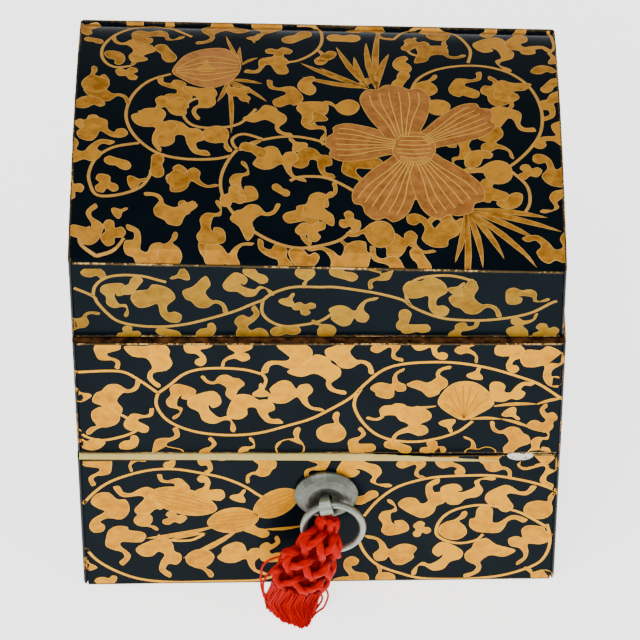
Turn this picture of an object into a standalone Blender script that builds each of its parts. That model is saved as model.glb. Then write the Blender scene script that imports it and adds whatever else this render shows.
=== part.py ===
# Small black lacquer box in two tiers under an arched lid, with a drawer below
# and a ring pull with a red tassel. Metres, +Z up, the front faces -Y, and the
# origin is the middle of the case's underside.
import math

import bmesh
import bpy
from mathutils import Matrix, Vector

# Driving dimensions of the case
case_width = 0.1100
case_depth = 0.0826
case_wall = 0.0032
case_floor = 0.0030
corner_radius = 0.0013
bay_top = 0.0431
shelf_thickness = 0.0030
tray_height = 0.0354

# Driving dimensions of the lid, which is worn out of true: its left end stands higher
lid_front_height = 0.0215
lid_crown = 0.0050
lid_lean = 0.0030
lid_wall = 0.0030
lid_side_inset = 0.0002
lid_ledge = 0.0019
lid_shift = -0.0003
lip_thickness = 0.0012
lip_drop = 0.0022
lip_rise = 0.0045
lip_play = 0.0004

# Driving dimensions of the drawer, which sits askew with its left end out
drawer_front_thickness = 0.0040
drawer_length = 0.0700
drawer_wall = 0.0026
drawer_skew = math.radians(1.0)
drawer_proud = 0.0007
drawer_head_room = 0.0014
drawer_top_gap = 0.0006
floor_gap = 0.0003
chip_width = 0.0062
chip_height = 0.0036
chip_depth = 0.0018
chip_from_right = 0.0092

# Driving dimensions of the ring pull
pull_offset = 0.0016
pull_drop = 0.0117
pull_roll = math.radians(13.0)
rosette_radius = 0.0073
rosette_dome = 0.0023
rosette_rim = 0.0006
strap_thickness = 0.0006
strap_leg_width = 0.0016
strap_eye_width = 0.0030
strap_leg_gap = 0.0003
strap_tail = 0.0060
eye_standoff = 0.0041
eye_radius = 0.0020
ring_radius = 0.00675
ring_wire_radius = 0.00087
ring_lean = math.radians(6.0)

# Clearances
rest_gap = 0.0003
hole_clearance = 0.0003

# Tassel: points down its middle line as shares of its own hang, from inside the ring to the floor
tassel_hang = 0.0280
tassel_path = (
    (0.00, -0.080, 1.000),
    (-0.07, -0.110, 0.760),
    (-0.18, -0.135, 0.480),
    (-0.24, -0.160, 0.330),
    (-0.225, -0.285, 0.175),
    (-0.205, -0.375, 0.070),
)
knot_half_widths = (0.0030, 0.0058, 0.0070, 0.0066)
knot_half_depths = (0.0018, 0.0036, 0.0040, 0.0034)
skirt_half_widths = (0.0062, 0.0056, 0.0026)
skirt_half_depths = (0.0032, 0.0025, 0.0010)

# Worked out from the driving dimensions
half_width = case_width / 2
half_depth = case_depth / 2
rim_level = bay_top + tray_height
bay_half_width = half_width - case_wall
lid_bottom = rim_level + rest_gap
lid_front = -half_depth + lid_ledge
lid_back = half_depth - lid_side_inset
lid_half_width = half_width - lid_side_inset
lip_inset = case_wall + lip_play + abs(lid_shift)
skew_reach = half_width * math.sin(drawer_skew)
drawer_face_y = -half_depth - drawer_proud
rebate_depth = (drawer_front_thickness + max(0.0, skew_reach - drawer_proud)
                + rest_gap / math.cos(drawer_skew))
drawer_side_gap = rest_gap + drawer_length * math.sin(drawer_skew) * 1.05
drawer_half_width = (bay_half_width - drawer_side_gap) * math.cos(drawer_skew)
drawer_back_limit = half_depth - case_wall - rest_gap - skew_reach
drawer_reach = min(drawer_length, (drawer_back_limit - drawer_face_y) * math.cos(drawer_skew))
drawer_bottom = case_floor + rest_gap
drawer_box_top = bay_top - drawer_head_room
drawer_front_top = bay_top - drawer_top_gap
pull_level = drawer_front_top - pull_drop
leg_centre = (strap_thickness + strap_leg_gap) / 2
leg_half_height = leg_centre + strap_thickness / 2
pull_hole_radius = math.hypot(leg_half_height, strap_leg_width / 2) + hole_clearance
arc_steps = 20


def clear_scene():
    for item in list(bpy.data.objects):
        bpy.data.objects.remove(item, do_unlink=True)


def make_material(name, colour, roughness, metallic):
    material = bpy.data.materials.new(name)
    material.use_nodes = True
    shader = material.node_tree.nodes["Principled BSDF"]
    shader.inputs["Base Color"].default_value = (*colour, 1.0)
    shader.inputs["Roughness"].default_value = roughness
    shader.inputs["Metallic"].default_value = metallic
    return material


def add_object(name, mesh_data, material=None):
    bmesh.ops.recalc_face_normals(mesh_data, faces=mesh_data.faces)
    mesh = bpy.data.meshes.new(name)
    mesh_data.to_mesh(mesh)
    mesh_data.free()
    item = bpy.data.objects.new(name, mesh)
    bpy.context.scene.collection.objects.link(item)
    if material:
        mesh.materials.append(material)
    return item


def shade_round(item, angle=30.0):
    item.data.shade_smooth()
    item.data.set_sharp_from_angle(angle=math.radians(angle))


def block(low, high, edge_radius=0.0, round_edge=None):
    # A box between two corners, with the edges that round_edge picks rounded off
    mesh_data = bmesh.new()
    bmesh.ops.create_cube(mesh_data, size=1.0)
    size = Vector(high) - Vector(low)
    middle = (Vector(high) + Vector(low)) / 2
    bmesh.ops.transform(mesh_data, matrix=Matrix.Translation(middle) @ Matrix.Diagonal((*size, 1.0)),
                        verts=mesh_data.verts)
    if edge_radius:
        edges = [edge for edge in mesh_data.edges if round_edge(*(vertex.co for vertex in edge.verts))]
        bmesh.ops.bevel(mesh_data, geom=edges, offset=edge_radius, segments=3, profile=0.5, affect="EDGES")
    return mesh_data


def upright(first, second):
    return abs(first.x - second.x) < 1e-6 and abs(first.y - second.y) < 1e-6


def add_cutter(name, mesh_data):
    cutter = add_object(name, mesh_data)
    cutter.hide_render = True
    cutter.display_type = "WIRE"
    return cutter


def apply_boolean(item, tool, operation="DIFFERENCE"):
    modifier = item.modifiers.new(tool.name, "BOOLEAN")
    modifier.operation = operation
    modifier.object = tool
    modifier.solver = "EXACT"


def build_case(material):
    outer = block((-half_width, -half_depth, 0.0), (half_width, half_depth, rim_level), corner_radius, upright)
    case = add_object("case", outer, material)
    inner_y = half_depth - case_wall
    tray = block((-bay_half_width, -inner_y, bay_top + shelf_thickness),
                 (bay_half_width, inner_y, rim_level + case_wall))
    bay = block((-bay_half_width, -half_depth - case_wall, case_floor), (bay_half_width, inner_y, bay_top))
    rebate = block((-half_width - case_wall, -half_depth - case_wall, -case_floor),
                   (half_width + case_wall, -half_depth + rebate_depth, bay_top))
    apply_boolean(case, add_cutter("tray_cutter", tray))
    apply_boolean(case, add_cutter("bay_cutter", bay))
    apply_boolean(case, add_cutter("rebate_cutter", rebate))
    return case


def arch_point(share, front, back, base, height, crown, lean_shift):
    # A point on the arch's curve: share runs from 0 at the front to 1 at the back
    half_chord = (back - front) / 2
    radius = (half_chord ** 2 + crown ** 2) / (2 * crown)
    end_angle = math.asin(min(1.0, half_chord / radius))
    angle = end_angle * (2 * share - 1)
    y = (front + back) / 2 + radius * math.sin(angle)
    z = base + height + lean_shift + radius * math.cos(angle) - radius + crown
    return y, z


def arch_block(left, right, front, back, bottom, base, height, crown):
    # A block with an arched top, higher at its left end by the lean
    mesh_data = bmesh.new()
    ends = []
    for x in (left, right):
        lean_shift = -lid_lean * x / case_width
        outline = [(front, bottom)]
        outline += [arch_point(step / arc_steps, front, back, base, height, crown, lean_shift)
                    for step in range(arc_steps + 1)]
        outline += [(back, bottom)]
        ends.append([mesh_data.verts.new((x, y, z)) for y, z in outline])
    count = len(ends[0])
    for step in range(count):
        after = (step + 1) % count
        mesh_data.faces.new((ends[0][step], ends[0][after], ends[1][after], ends[1][step]))
    mesh_data.faces.new(ends[0])
    mesh_data.faces.new(ends[1])
    bmesh.ops.recalc_face_normals(mesh_data, faces=mesh_data.faces)
    return mesh_data


def build_lid(material):
    left = -lid_half_width + lid_shift
    right = lid_half_width + lid_shift
    outer = arch_block(left, right, lid_front, lid_back, lid_bottom, lid_bottom, lid_front_height, lid_crown)
    uprights = [edge for edge in outer.edges if upright(*(vertex.co for vertex in edge.verts))]
    bmesh.ops.bevel(outer, geom=uprights, offset=corner_radius, segments=3, profile=0.5, affect="EDGES")
    lid = add_object("lid", outer, material)
    lip_half_width = half_width - lip_inset
    lip_front = -half_depth + max(case_wall + lip_play, lid_ledge + lid_wall - lip_thickness)
    lip_back = half_depth - case_wall - lip_play
    lip = block((-lip_half_width + lid_shift, lip_front, lid_bottom - lip_drop),
                (lip_half_width + lid_shift, lip_back, lid_bottom + lip_rise))
    lower = block((-lip_half_width + lip_thickness + lid_shift, lip_front + lip_thickness,
                   lid_bottom - 2 * lip_drop),
                  (lip_half_width - lip_thickness + lid_shift, lip_back - lip_thickness,
                   lid_bottom + 1.5 * lip_rise))
    upper = arch_block(left + lid_wall, right - lid_wall, lid_front + lid_wall, lid_back - lid_wall,
                       lid_bottom + lip_rise, lid_bottom, lid_front_height - lid_wall, lid_crown)
    apply_boolean(lid, add_cutter("lip_block", lip), "UNION")
    apply_boolean(lid, add_cutter("lid_upper_cutter", upper))
    apply_boolean(lid, add_cutter("lid_lower_cutter", lower))
    return lid


def cylinder(radius, length, segments):
    # A round bar along Y, centred on the origin
    mesh_data = bmesh.new()
    bmesh.ops.create_cone(mesh_data, cap_ends=True, segments=segments, radius1=radius, radius2=radius, depth=length,
                          matrix=Matrix.Rotation(math.radians(90.0), 4, "X"))
    return mesh_data


def build_drawer(material, holder):
    # The drawer's own frame: x along its front, y inward from its face, z from the floor
    front = block((-half_width, 0.0, floor_gap), (half_width, drawer_front_thickness, drawer_front_top),
                  corner_radius, lambda a, b: upright(a, b) and a.y < drawer_front_thickness / 2)
    drawer = add_object("drawer", front, material)
    overlap = drawer_front_thickness / 2
    body = block((-drawer_half_width, overlap, drawer_bottom), (drawer_half_width, drawer_reach, drawer_box_top))
    hollow = block((-drawer_half_width + drawer_wall, drawer_front_thickness, drawer_bottom + drawer_wall),
                   (drawer_half_width - drawer_wall, drawer_reach - drawer_wall, bay_top + drawer_wall))
    hole = cylinder(pull_hole_radius, 4 * drawer_front_thickness, 16)
    chip = bmesh.new()
    bmesh.ops.create_uvsphere(chip, u_segments=16, v_segments=10, radius=0.5,
                              matrix=Matrix.Diagonal((chip_width, chip_depth, chip_height, 1.0)))
    pieces = [(drawer, None)]
    for name, mesh_data, operation in (("drawer_box", body, "UNION"), ("drawer_hollow", hollow, "DIFFERENCE"),
                                       ("pull_hole", hole, "DIFFERENCE"), ("chip_cutter", chip, "DIFFERENCE")):
        tool = add_cutter(name, mesh_data)
        apply_boolean(drawer, tool, operation)
        pieces.append((tool, operation))
    bpy.data.objects["pull_hole"].location = (pull_offset, 0.0, pull_level)
    bpy.data.objects["chip_cutter"].location = (half_width - chip_from_right, 0.0, drawer_front_top)
    for piece, _ in pieces:
        piece.parent = holder
    return drawer


def build_rosette(material, holder):
    # A turned dome with a dished middle: radius and height of its profile from the hole outwards
    inner = pull_hole_radius
    span = rosette_radius - inner
    profile = [(inner, 0.0), (inner, 0.62 * rosette_dome), (inner + 0.14 * span, 0.74 * rosette_dome),
               (inner + 0.30 * span, 0.93 * rosette_dome), (inner + 0.46 * span, rosette_dome),
               (inner + 0.62 * span, 0.95 * rosette_dome), (inner + 0.78 * span, 0.78 * rosette_dome),
               (inner + 0.91 * span, 0.50 * rosette_dome), (rosette_radius, rosette_rim), (rosette_radius, 0.0)]
    segments = 36
    mesh_data = bmesh.new()
    rings = []
    for step in range(segments):
        turn = 2 * math.pi * step / segments
        rings.append([mesh_data.verts.new((radius * math.cos(turn), -height, radius * math.sin(turn)))
                      for radius, height in profile])
    for step in range(segments):
        first = rings[step]
        second = rings[(step + 1) % segments]
        for index in range(len(profile)):
            after = (index + 1) % len(profile)
            mesh_data.faces.new((first[index], first[after], second[after], second[index]))
    rosette = add_object("rosette", mesh_data, material)
    rosette.location = (pull_offset, -rest_gap, pull_level)
    rosette.parent = holder
    shade_round(rosette)
    return rosette


def strap_path():
    # Middle line of the split strap in its own plane, as (y, z, width), from the upper tail to the lower
    inside = drawer_front_thickness + rest_gap + strap_thickness / 2
    bend = rest_gap + strap_thickness / 2
    neck = -rest_gap - 0.62 * rosette_dome
    join = math.radians(58.0)
    centre = -eye_standoff
    upper = [(inside, leg_centre + bend + strap_tail, strap_leg_width),
             (inside, leg_centre + bend, strap_leg_width)]
    for step in range(1, 5):
        angle = math.radians(90.0) * step / 5
        upper.append((inside - bend + bend * math.cos(angle), leg_centre + bend - bend * math.sin(angle),
                      strap_leg_width))
    upper.append((inside - bend, leg_centre, strap_leg_width))
    upper.append((neck, leg_centre, strap_leg_width))
    start = Vector((neck, leg_centre))
    end = Vector((centre + eye_radius * math.cos(join), eye_radius * math.sin(join)))
    pull_in = start + Vector((-0.35 * eye_radius, 0.0))
    pull_out = end - 0.30 * eye_radius * Vector((-math.sin(join), math.cos(join)))
    for step in range(1, 5):
        share = step / 5
        rest = 1 - share
        point = (rest ** 3 * start + 3 * rest ** 2 * share * pull_in + 3 * rest * share ** 2 * pull_out
                 + share ** 3 * end)
        upper.append((point.x, point.y, strap_leg_width))
    arc = []
    turns = 14
    for step in range(turns + 1):
        angle = join + (2 * math.pi - 2 * join) * step / turns
        swell = math.sin(math.pi * step / turns)
        width = strap_leg_width + (strap_eye_width - strap_leg_width) * swell
        arc.append((centre + eye_radius * math.cos(angle), eye_radius * math.sin(angle), width))
    lower = [(y, -z, width) for y, z, width in reversed(upper)]
    return upper + arc + lower


def build_staple(material, holder):
    # A flat strap bent round an eye, whose two legs go through the front and are spread inside
    path = strap_path()
    mesh_data = bmesh.new()
    sections = []
    for index, (y, z, width) in enumerate(path):
        before = path[max(index - 1, 0)]
        after = path[min(index + 1, len(path) - 1)]
        arriving = Vector((y - before[0], z - before[1]))
        leaving = Vector((after[0] - y, after[1] - z))
        arriving = arriving.normalized() if arriving.length > 0 else leaving.normalized()
        leaving = leaving.normalized() if leaving.length > 0 else arriving
        along = (arriving + leaving).normalized()
        stretch = 1 / max(0.5, along.dot(arriving))
        normal = Vector((-along.y, along.x)) * strap_thickness / 2 * stretch
        corners = []
        for side, face in ((-1, -1), (1, -1), (1, 1), (-1, 1)):
            corners.append(mesh_data.verts.new((side * width / 2, y + face * normal.x, z + face * normal.y)))
        sections.append(corners)
    for first, second in zip(sections, sections[1:]):
        for index in range(4):
            after = (index + 1) % 4
            mesh_data.faces.new((first[index], first[after], second[after], second[index]))
    mesh_data.faces.new(sections[0])
    mesh_data.faces.new(sections[-1])
    staple = add_object("staple", mesh_data, material)
    staple.location = (pull_offset, 0.0, pull_level)
    staple.rotation_euler = (0.0, -pull_roll, 0.0)
    staple.parent = holder
    return staple


def torus(major, minor, around, across):
    # A ring in the XZ plane that hangs below the origin
    mesh_data = bmesh.new()
    rings = []
    for step in range(around):
        turn = 2 * math.pi * step / around
        ring = []
        for part in range(across):
            bend = 2 * math.pi * part / across
            reach = major + minor * math.cos(bend)
            ring.append(mesh_data.verts.new((reach * math.sin(turn), minor * math.sin(bend),
                                             reach * math.cos(turn) - major)))
        rings.append(ring)
    for step in range(around):
        first = rings[step]
        second = rings[(step + 1) % around]
        for part in range(across):
            after = (part + 1) % across
            mesh_data.faces.new((first[part], first[after], second[after], second[part]))
    return mesh_data


def build_ring(material, pivot):
    ring = add_object("ring", torus(ring_radius, ring_wire_radius, 40, 10), material)
    ring.rotation_euler = (-ring_lean, 0.0, 0.0)
    ring.parent = pivot
    shade_round(ring)
    return ring


def tassel_points():
    # The middle line in world axes, measured from the floor and the drawer's face at the pull
    return [Vector((pull_offset + share_x * tassel_hang, drawer_face_y - eye_standoff + share_y * tassel_hang,
                    share_z * tassel_hang)) for share_x, share_y, share_z in tassel_path]


def loft(points, half_widths, half_depths, around=16):
    # Closed ovals across the middle line, joined by faces; the widths are across the front
    mesh_data = bmesh.new()
    rings = []
    for index, (point, wide, deep) in enumerate(zip(points, half_widths, half_depths)):
        before = points[max(index - 1, 0)]
        after = points[min(index + 1, len(points) - 1)]
        along = (after - before).normalized()
        across = along.cross(Vector((0.0, 1.0, 0.0))).normalized()
        outward = across.cross(along)
        ring = []
        for step in range(around):
            turn = 2 * math.pi * step / around
            place = point + across * wide * math.cos(turn) + outward * deep * math.sin(turn)
            ring.append(mesh_data.verts.new((place.x, place.y, max(place.z, floor_gap))))
        rings.append(ring)
    for first, second in zip(rings, rings[1:]):
        for step in range(around):
            after = (step + 1) % around
            mesh_data.faces.new((first[step], first[after], second[after], second[step]))
    mesh_data.faces.new(rings[0])
    mesh_data.faces.new(rings[-1])
    return mesh_data


def smooth_run(values, steps):
    # The same run of values with a few more between, on a smooth curve
    out = []
    last = len(values) - 1
    for index in range(last):
        before = values[max(index - 1, 0)]
        first = values[index]
        second = values[index + 1]
        after = values[min(index + 2, last)]
        for step in range(steps):
            t = step / steps
            out.append(0.5 * (2 * first + (second - before) * t + (2 * before - 5 * first + 4 * second - after)
                              * t * t + (3 * first - before - 3 * second + after) * t ** 3))
    out.append(values[last])
    return out


def keep_in_place(item, parent):
    bpy.context.view_layer.update()
    item.parent = parent
    item.matrix_parent_inverse = parent.matrix_world.inverted()


def build_tassel(material, pivot):
    points = tassel_points()
    steps = 3
    knot_count = len(knot_half_widths)
    knot_points = smooth_run(points[:knot_count], steps)
    skirt_points = smooth_run(points[knot_count - 1:], steps)
    knot = add_object("tassel_knot", loft(knot_points, smooth_run(knot_half_widths, steps),
                                          smooth_run(knot_half_depths, steps)), material)
    step_off = (skirt_points[1] - skirt_points[0]).normalized() * rest_gap
    skirt = add_object("tassel_skirt", loft([point + step_off for point in skirt_points],
                                            smooth_run(skirt_half_widths, steps),
                                            smooth_run(skirt_half_depths, steps)), material)
    groove = add_cutter("ring_groove", torus(ring_radius, ring_wire_radius + rest_gap, 40, 10))
    groove.rotation_euler = (-ring_lean, 0.0, 0.0)
    groove.parent = pivot
    apply_boolean(knot, groove)
    parting_size = knot_half_widths[-1] + tassel_hang
    parting = add_cutter("knot_parting", block((-parting_size, -parting_size, -2 * parting_size),
                                               (parting_size, parting_size, 0.0)))
    parting.location = points[knot_count - 1]
    parting.rotation_euler = (points[knot_count - 2] - points[knot_count - 1]).to_track_quat("Z", "Y").to_euler()
    skirt_parting = add_cutter("skirt_parting", block((-parting_size, -parting_size, -rest_gap),
                                                      (parting_size, parting_size, 2 * parting_size)))
    skirt_parting.location = points[knot_count - 1]
    skirt_parting.rotation_euler = parting.rotation_euler
    apply_boolean(knot, parting)
    apply_boolean(skirt, skirt_parting)
    for item in (knot, skirt, parting, skirt_parting):
        shade_round(item, 50.0)
        keep_in_place(item, pivot)
    return knot, skirt


def build():
    clear_scene()
    lacquer = make_material("black_lacquer", (0.012, 0.020, 0.026), 0.22, 0.0)
    metal = make_material("grey_metal", (0.42, 0.43, 0.40), 0.38, 1.0)
    silk = make_material("red_silk", (0.62, 0.008, 0.012), 0.55, 0.0)
    drawer_frame = bpy.data.objects.new("drawer_frame", None)
    pull_pivot = bpy.data.objects.new("pull_pivot", None)
    for empty in (drawer_frame, pull_pivot):
        bpy.context.scene.collection.objects.link(empty)
    drawer_frame.location = (0.0, drawer_face_y, 0.0)
    drawer_frame.rotation_euler = (0.0, 0.0, drawer_skew)
    pull_pivot.parent = drawer_frame
    pull_pivot.location = (pull_offset, -eye_standoff, pull_level)
    pull_pivot.rotation_euler = (0.0, -pull_roll, 0.0)
    build_case(lacquer)
    build_lid(lacquer)
    build_drawer(lacquer, drawer_frame)
    build_rosette(metal, drawer_frame)
    build_staple(metal, drawer_frame)
    build_ring(metal, pull_pivot)
    build_tassel(silk, pull_pivot)


build()
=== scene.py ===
import math
import random

import bmesh
import bpy
import numpy as np
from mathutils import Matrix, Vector
from mathutils.bvhtree import BVHTree


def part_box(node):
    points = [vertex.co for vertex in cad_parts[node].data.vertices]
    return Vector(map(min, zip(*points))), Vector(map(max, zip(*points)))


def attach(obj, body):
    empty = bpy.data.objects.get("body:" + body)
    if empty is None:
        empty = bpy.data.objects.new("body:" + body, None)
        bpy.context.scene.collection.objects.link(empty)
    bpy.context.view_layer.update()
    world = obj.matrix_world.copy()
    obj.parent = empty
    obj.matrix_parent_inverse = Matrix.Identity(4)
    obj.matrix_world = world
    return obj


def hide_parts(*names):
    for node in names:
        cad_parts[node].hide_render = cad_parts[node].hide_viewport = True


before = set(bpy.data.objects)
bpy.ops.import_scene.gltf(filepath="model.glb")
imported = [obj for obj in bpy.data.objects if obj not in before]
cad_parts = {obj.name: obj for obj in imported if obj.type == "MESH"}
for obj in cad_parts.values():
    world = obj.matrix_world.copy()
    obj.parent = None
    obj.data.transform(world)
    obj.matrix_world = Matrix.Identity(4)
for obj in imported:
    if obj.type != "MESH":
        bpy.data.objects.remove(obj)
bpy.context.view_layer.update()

mm = 0.001
scene = bpy.context.scene


# Small helpers

def linearColour(hexCode):
    parts = [int(hexCode[i:i + 2], 16) / 255 for i in (1, 3, 5)]
    return tuple(c / 12.92 if c <= 0.04045 else ((c + 0.055) / 1.055) ** 2.4 for c in parts) + (1.0,)


def addNode(tree, kind, inputs=None, **settings):
    node = tree.nodes.new(kind)
    for name, value in settings.items():
        setattr(node, name, value)
    for socket, value in (inputs or {}).items():
        if isinstance(value, bpy.types.NodeSocket):
            tree.links.new(value, node.inputs[socket])
        else:
            node.inputs[socket].default_value = value
    return node


def newObject(name, data):
    item = bpy.data.objects.new(name, data)
    scene.collection.objects.link(item)
    return item


def meshObject(name, bm, material):
    mesh = bpy.data.meshes.new(name)
    bm.to_mesh(mesh)
    bm.free()
    mesh.materials.append(material)
    mesh.polygons.foreach_set("material_index", [0] * len(mesh.polygons))
    return newObject(name, mesh)


def evaluatedMesh(item):
    bpy.context.view_layer.update()
    graph = bpy.context.evaluated_depsgraph_get()
    return bpy.data.meshes.new_from_object(item.evaluated_get(graph), preserve_all_data_layers=True,
                                           depsgraph=graph)


def smoothLine(points, steps, closed=False):
    # Catmull-Rom curve through a few points
    count = len(points)
    out = []
    for i in range(count if closed else count - 1):
        if closed:
            p = [points[(i + k) % count] for k in (-1, 0, 1, 2)]
        else:
            p = [points[min(max(i + k, 0), count - 1)] for k in (-1, 0, 1, 2)]
        for step in range(steps):
            t = step / steps
            out.append(tuple(0.5 * (2 * b + (c - a) * t + (2 * a - 5 * b + 4 * c - d) * t * t
                                    + (3 * b - a - 3 * c + d) * t ** 3) for a, b, c, d in zip(*p)))
    if not closed:
        out.append(tuple(points[-1]))
    return out


# Parts of a material

def startMaterial(name):
    material = bpy.data.materials.new(name)
    material.use_nodes = True
    tree = material.node_tree
    return material, tree, tree.nodes["Principled BSDF"]


def noise(tree, sizeInMm, detail, roughness=0.5):
    # Mottling in the object's own space: Blender's noise has about one blob to each unit
    where = addNode(tree, "ShaderNodeTexCoord").outputs["Object"]
    return addNode(tree, "ShaderNodeTexNoise", {"Vector": where, "Scale": 1000.0 / sizeInMm, "Detail": detail,
                                                "Roughness": roughness}).outputs["Fac"]


def attribute(tree, name):
    return addNode(tree, "ShaderNodeAttribute", attribute_name=name).outputs["Fac"]


def calc(tree, operation, *values):
    return addNode(tree, "ShaderNodeMath", dict(enumerate(values)), operation=operation).outputs[0]


def ramp(tree, value, low=0.0, high=1.0, start=0.0, end=1.0):
    return addNode(tree, "ShaderNodeMapRange", {"Value": value, "From Min": low, "From Max": high,
                                                "To Min": start, "To Max": end}).outputs["Result"]


def blend(tree, factor, *colours):
    # Mixes two colours, each a hex code or another node's output
    first, second = [linearColour(c) if isinstance(c, str) else c for c in colours]
    return addNode(tree, "ShaderNodeMix", {"Factor": factor, 6: first, 7: second}, data_type="RGBA").outputs[2]


def setShader(tree, shader, values, bump=None):
    # Colours are hex codes or outputs, and bump is its strength, its depth and the height that it follows
    for name, value in values.items():
        if isinstance(value, bpy.types.NodeSocket):
            tree.links.new(value, shader.inputs[name])
        else:
            shader.inputs[name].default_value = linearColour(value) if isinstance(value, str) else value
    if bump:
        relief = addNode(tree, "ShaderNodeBump", dict(zip(("Strength", "Distance", "Height"), bump)))
        tree.links.new(relief.outputs["Normal"], shader.inputs["Normal"])


# Parts of a geometry tree

def startTree(name, *sockets):
    # A tree with the named inputs after its geometry, and what comes in through them
    tree = bpy.data.node_groups.new(name, "GeometryNodeTree")
    tree.interface.new_socket("Geometry", in_out="OUTPUT", socket_type="NodeSocketGeometry")
    for label, kind, value in (("Geometry", "Geometry", None),) + sockets:
        socket = tree.interface.new_socket(label, in_out="INPUT", socket_type="NodeSocket" + kind)
        if value is not None:
            socket.default_value = value
    return tree, addNode(tree, "NodeGroupInput").outputs


def geo(tree, kind, inputs=None, **settings):
    return addNode(tree, "GeometryNode" + kind, inputs, **settings).outputs


def endTree(tree, geometry, material):
    real = geo(tree, "RealizeInstances", {"Geometry": geometry})
    coated = geo(tree, "SetMaterial", {"Geometry": real["Geometry"], "Material": material})
    tree.links.new(coated["Geometry"], addNode(tree, "NodeGroupOutput").inputs[0])
    return tree


def runTree(tree, points, edges, attributes, values):
    # Runs the tree on lines and points with these attributes, and returns the result as a plain mesh
    mesh = bpy.data.meshes.new(tree.name)
    mesh.from_pydata(points, edges, [])
    for name, numbers in attributes.items():
        form = "INT" if isinstance(numbers[0], int) else "FLOAT"
        mesh.attributes.new(name, form, "POINT").data.foreach_set("value", numbers)
    holder = newObject(tree.name, mesh)
    modifier = holder.modifiers.new(tree.name, "NODES")
    modifier.node_group = tree
    for item in tree.interface.items_tree:
        if item.in_out == "INPUT" and item.name in values:
            modifier[item.identifier] = values[item.name]
    made = evaluatedMesh(holder)
    bpy.data.objects.remove(holder)
    return made


# Camera, floor and light

view = {
    "pitch": 45.0,               # degrees down from level
    "distance": 1.1131,
    "target": (0.0002, -0.0015, 0.0462),
    "focalPixels": 4780.6,       # for the photograph's 640 pixel frame
    "framePixels": 640,
}


def placeCamera():
    pitch = math.radians(view["pitch"])
    data = bpy.data.cameras.new("photoCamera")
    data.sensor_width = 36
    data.lens = view["focalPixels"] / view["framePixels"] * data.sensor_width
    data.clip_start = 0.05
    camera = newObject("photoCamera", data)
    camera.rotation_euler = (math.pi / 2 - pitch, 0, 0)
    offset = Vector((0, -math.cos(pitch), math.sin(pitch))) * view["distance"]
    camera.location = Vector(view["target"]) + offset
    scene.camera = camera
    bpy.context.view_layer.update()
    return camera


camera = placeCamera()


def photoRay(x, y):
    # The line of sight through a pixel of the photograph
    half = view["framePixels"] / 2
    turn = camera.matrix_world.to_3x3()
    direction = turn @ Vector(((x - half) / view["focalPixels"], (half - y) / view["focalPixels"], -1))
    return camera.matrix_world.translation.copy(), direction.normalized()


studio = {
    "floor": "#F6F5F3",
    "floorGlow": 2.4,            # the board is lit from below, as a light table is
    "world": "#E4EBF2",
    "worldStrength": 0.75,
    "aim": (0, 0, 0.04),
    # place, width and power of each lamp
    "lights": {"keyLight": ((-0.35, -0.75, 1.05), 0.9, 12.0), "fillLight": ((0.7, -0.55, 0.6), 0.8, 3.0)},
}


def buildStudio():
    material, tree, shader = startMaterial("whiteAcrylic")    # a frosted white sheet over soft light
    setShader(tree, shader, {"Base Color": studio["floor"], "Roughness": 0.9, "Specular IOR Level": 0.1,
                             "Emission Color": studio["floor"], "Emission Strength": studio["floorGlow"]})
    bm = bmesh.new()
    bmesh.ops.create_grid(bm, x_segments=1, y_segments=1, size=3)
    floor = meshObject("studioFloor", bm, material)
    world = bpy.data.worlds.new("softRoom")
    world.use_nodes = True
    background = world.node_tree.nodes["Background"]
    background.inputs["Color"].default_value = linearColour(studio["world"])
    background.inputs["Strength"].default_value = studio["worldStrength"]
    scene.world = world
    for name, (place, size, power) in studio["lights"].items():
        data = bpy.data.lights.new(name, "AREA")
        data.energy = power
        data.size = size
        lamp = newObject(name, data)
        lamp.location = place
        lamp.rotation_euler = (Vector(studio["aim"]) - Vector(place)).to_track_quat("-Z", "Y").to_euler()


buildStudio()
print("camera and studio placed")


# Materials

lacquerLook = {
    "deep": "#030609",
    "cloudy": "#071117",
    "rubbed": "#4A3A22",         # brown lacquer bared along the edges
    "bright": "#D8AE66",         # gold on the most worn edges: partly worn gilding, partly a painted highlight along the rounded edges
    "cloudSize": 9.0,            # mm across one cloud of the polish
    "gritSize": 0.8,
    "patchSize": 14.0,
    "brownFrom": (1.55, 1.85),   # how strong the wear and painted highlight mask is where brown, then gold, begins and is full
    "goldAndHighlightFrom": (2.04, 2.16),
}


def makeLacquer():
    # Urushi lacquer over wood: near black with a soft rubbed gloss, brown where hands have worn the edges, and gold
    # on the most worn edges that is partly a painted highlight along them
    material, tree, shader = startMaterial("blackUrushi")
    look = lacquerLook
    cloud = noise(tree, look["cloudSize"], 4.0)
    chance = calc(tree, "ADD", noise(tree, look["patchSize"], 2.0), noise(tree, look["gritSize"], 5.0, 0.6))
    reach = calc(tree, "ADD", chance, attribute(tree, "wear"))
    brown = ramp(tree, reach, *look["brownFrom"])
    worn = blend(tree, brown, blend(tree, cloud, look["deep"], look["cloudy"]), look["rubbed"])
    sheen = ramp(tree, cloud, start=0.16, end=0.30)
    setShader(tree, shader, {
        # gold where the mask is strongest: worn gilding, and a painted highlight on the rounded edges
        "Base Color": blend(tree, ramp(tree, reach, *look["goldAndHighlightFrom"]), worn, look["bright"]),
        "Roughness": addNode(tree, "ShaderNodeMix", {"Factor": brown, 2: sheen, 3: 0.6}).outputs[0],
        "IOR": 1.42, "Specular IOR Level": 0.07, "Specular Tint": "#8FB4C8"}, (0.05, 0.2 * mm, cloud))
    return material


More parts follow.
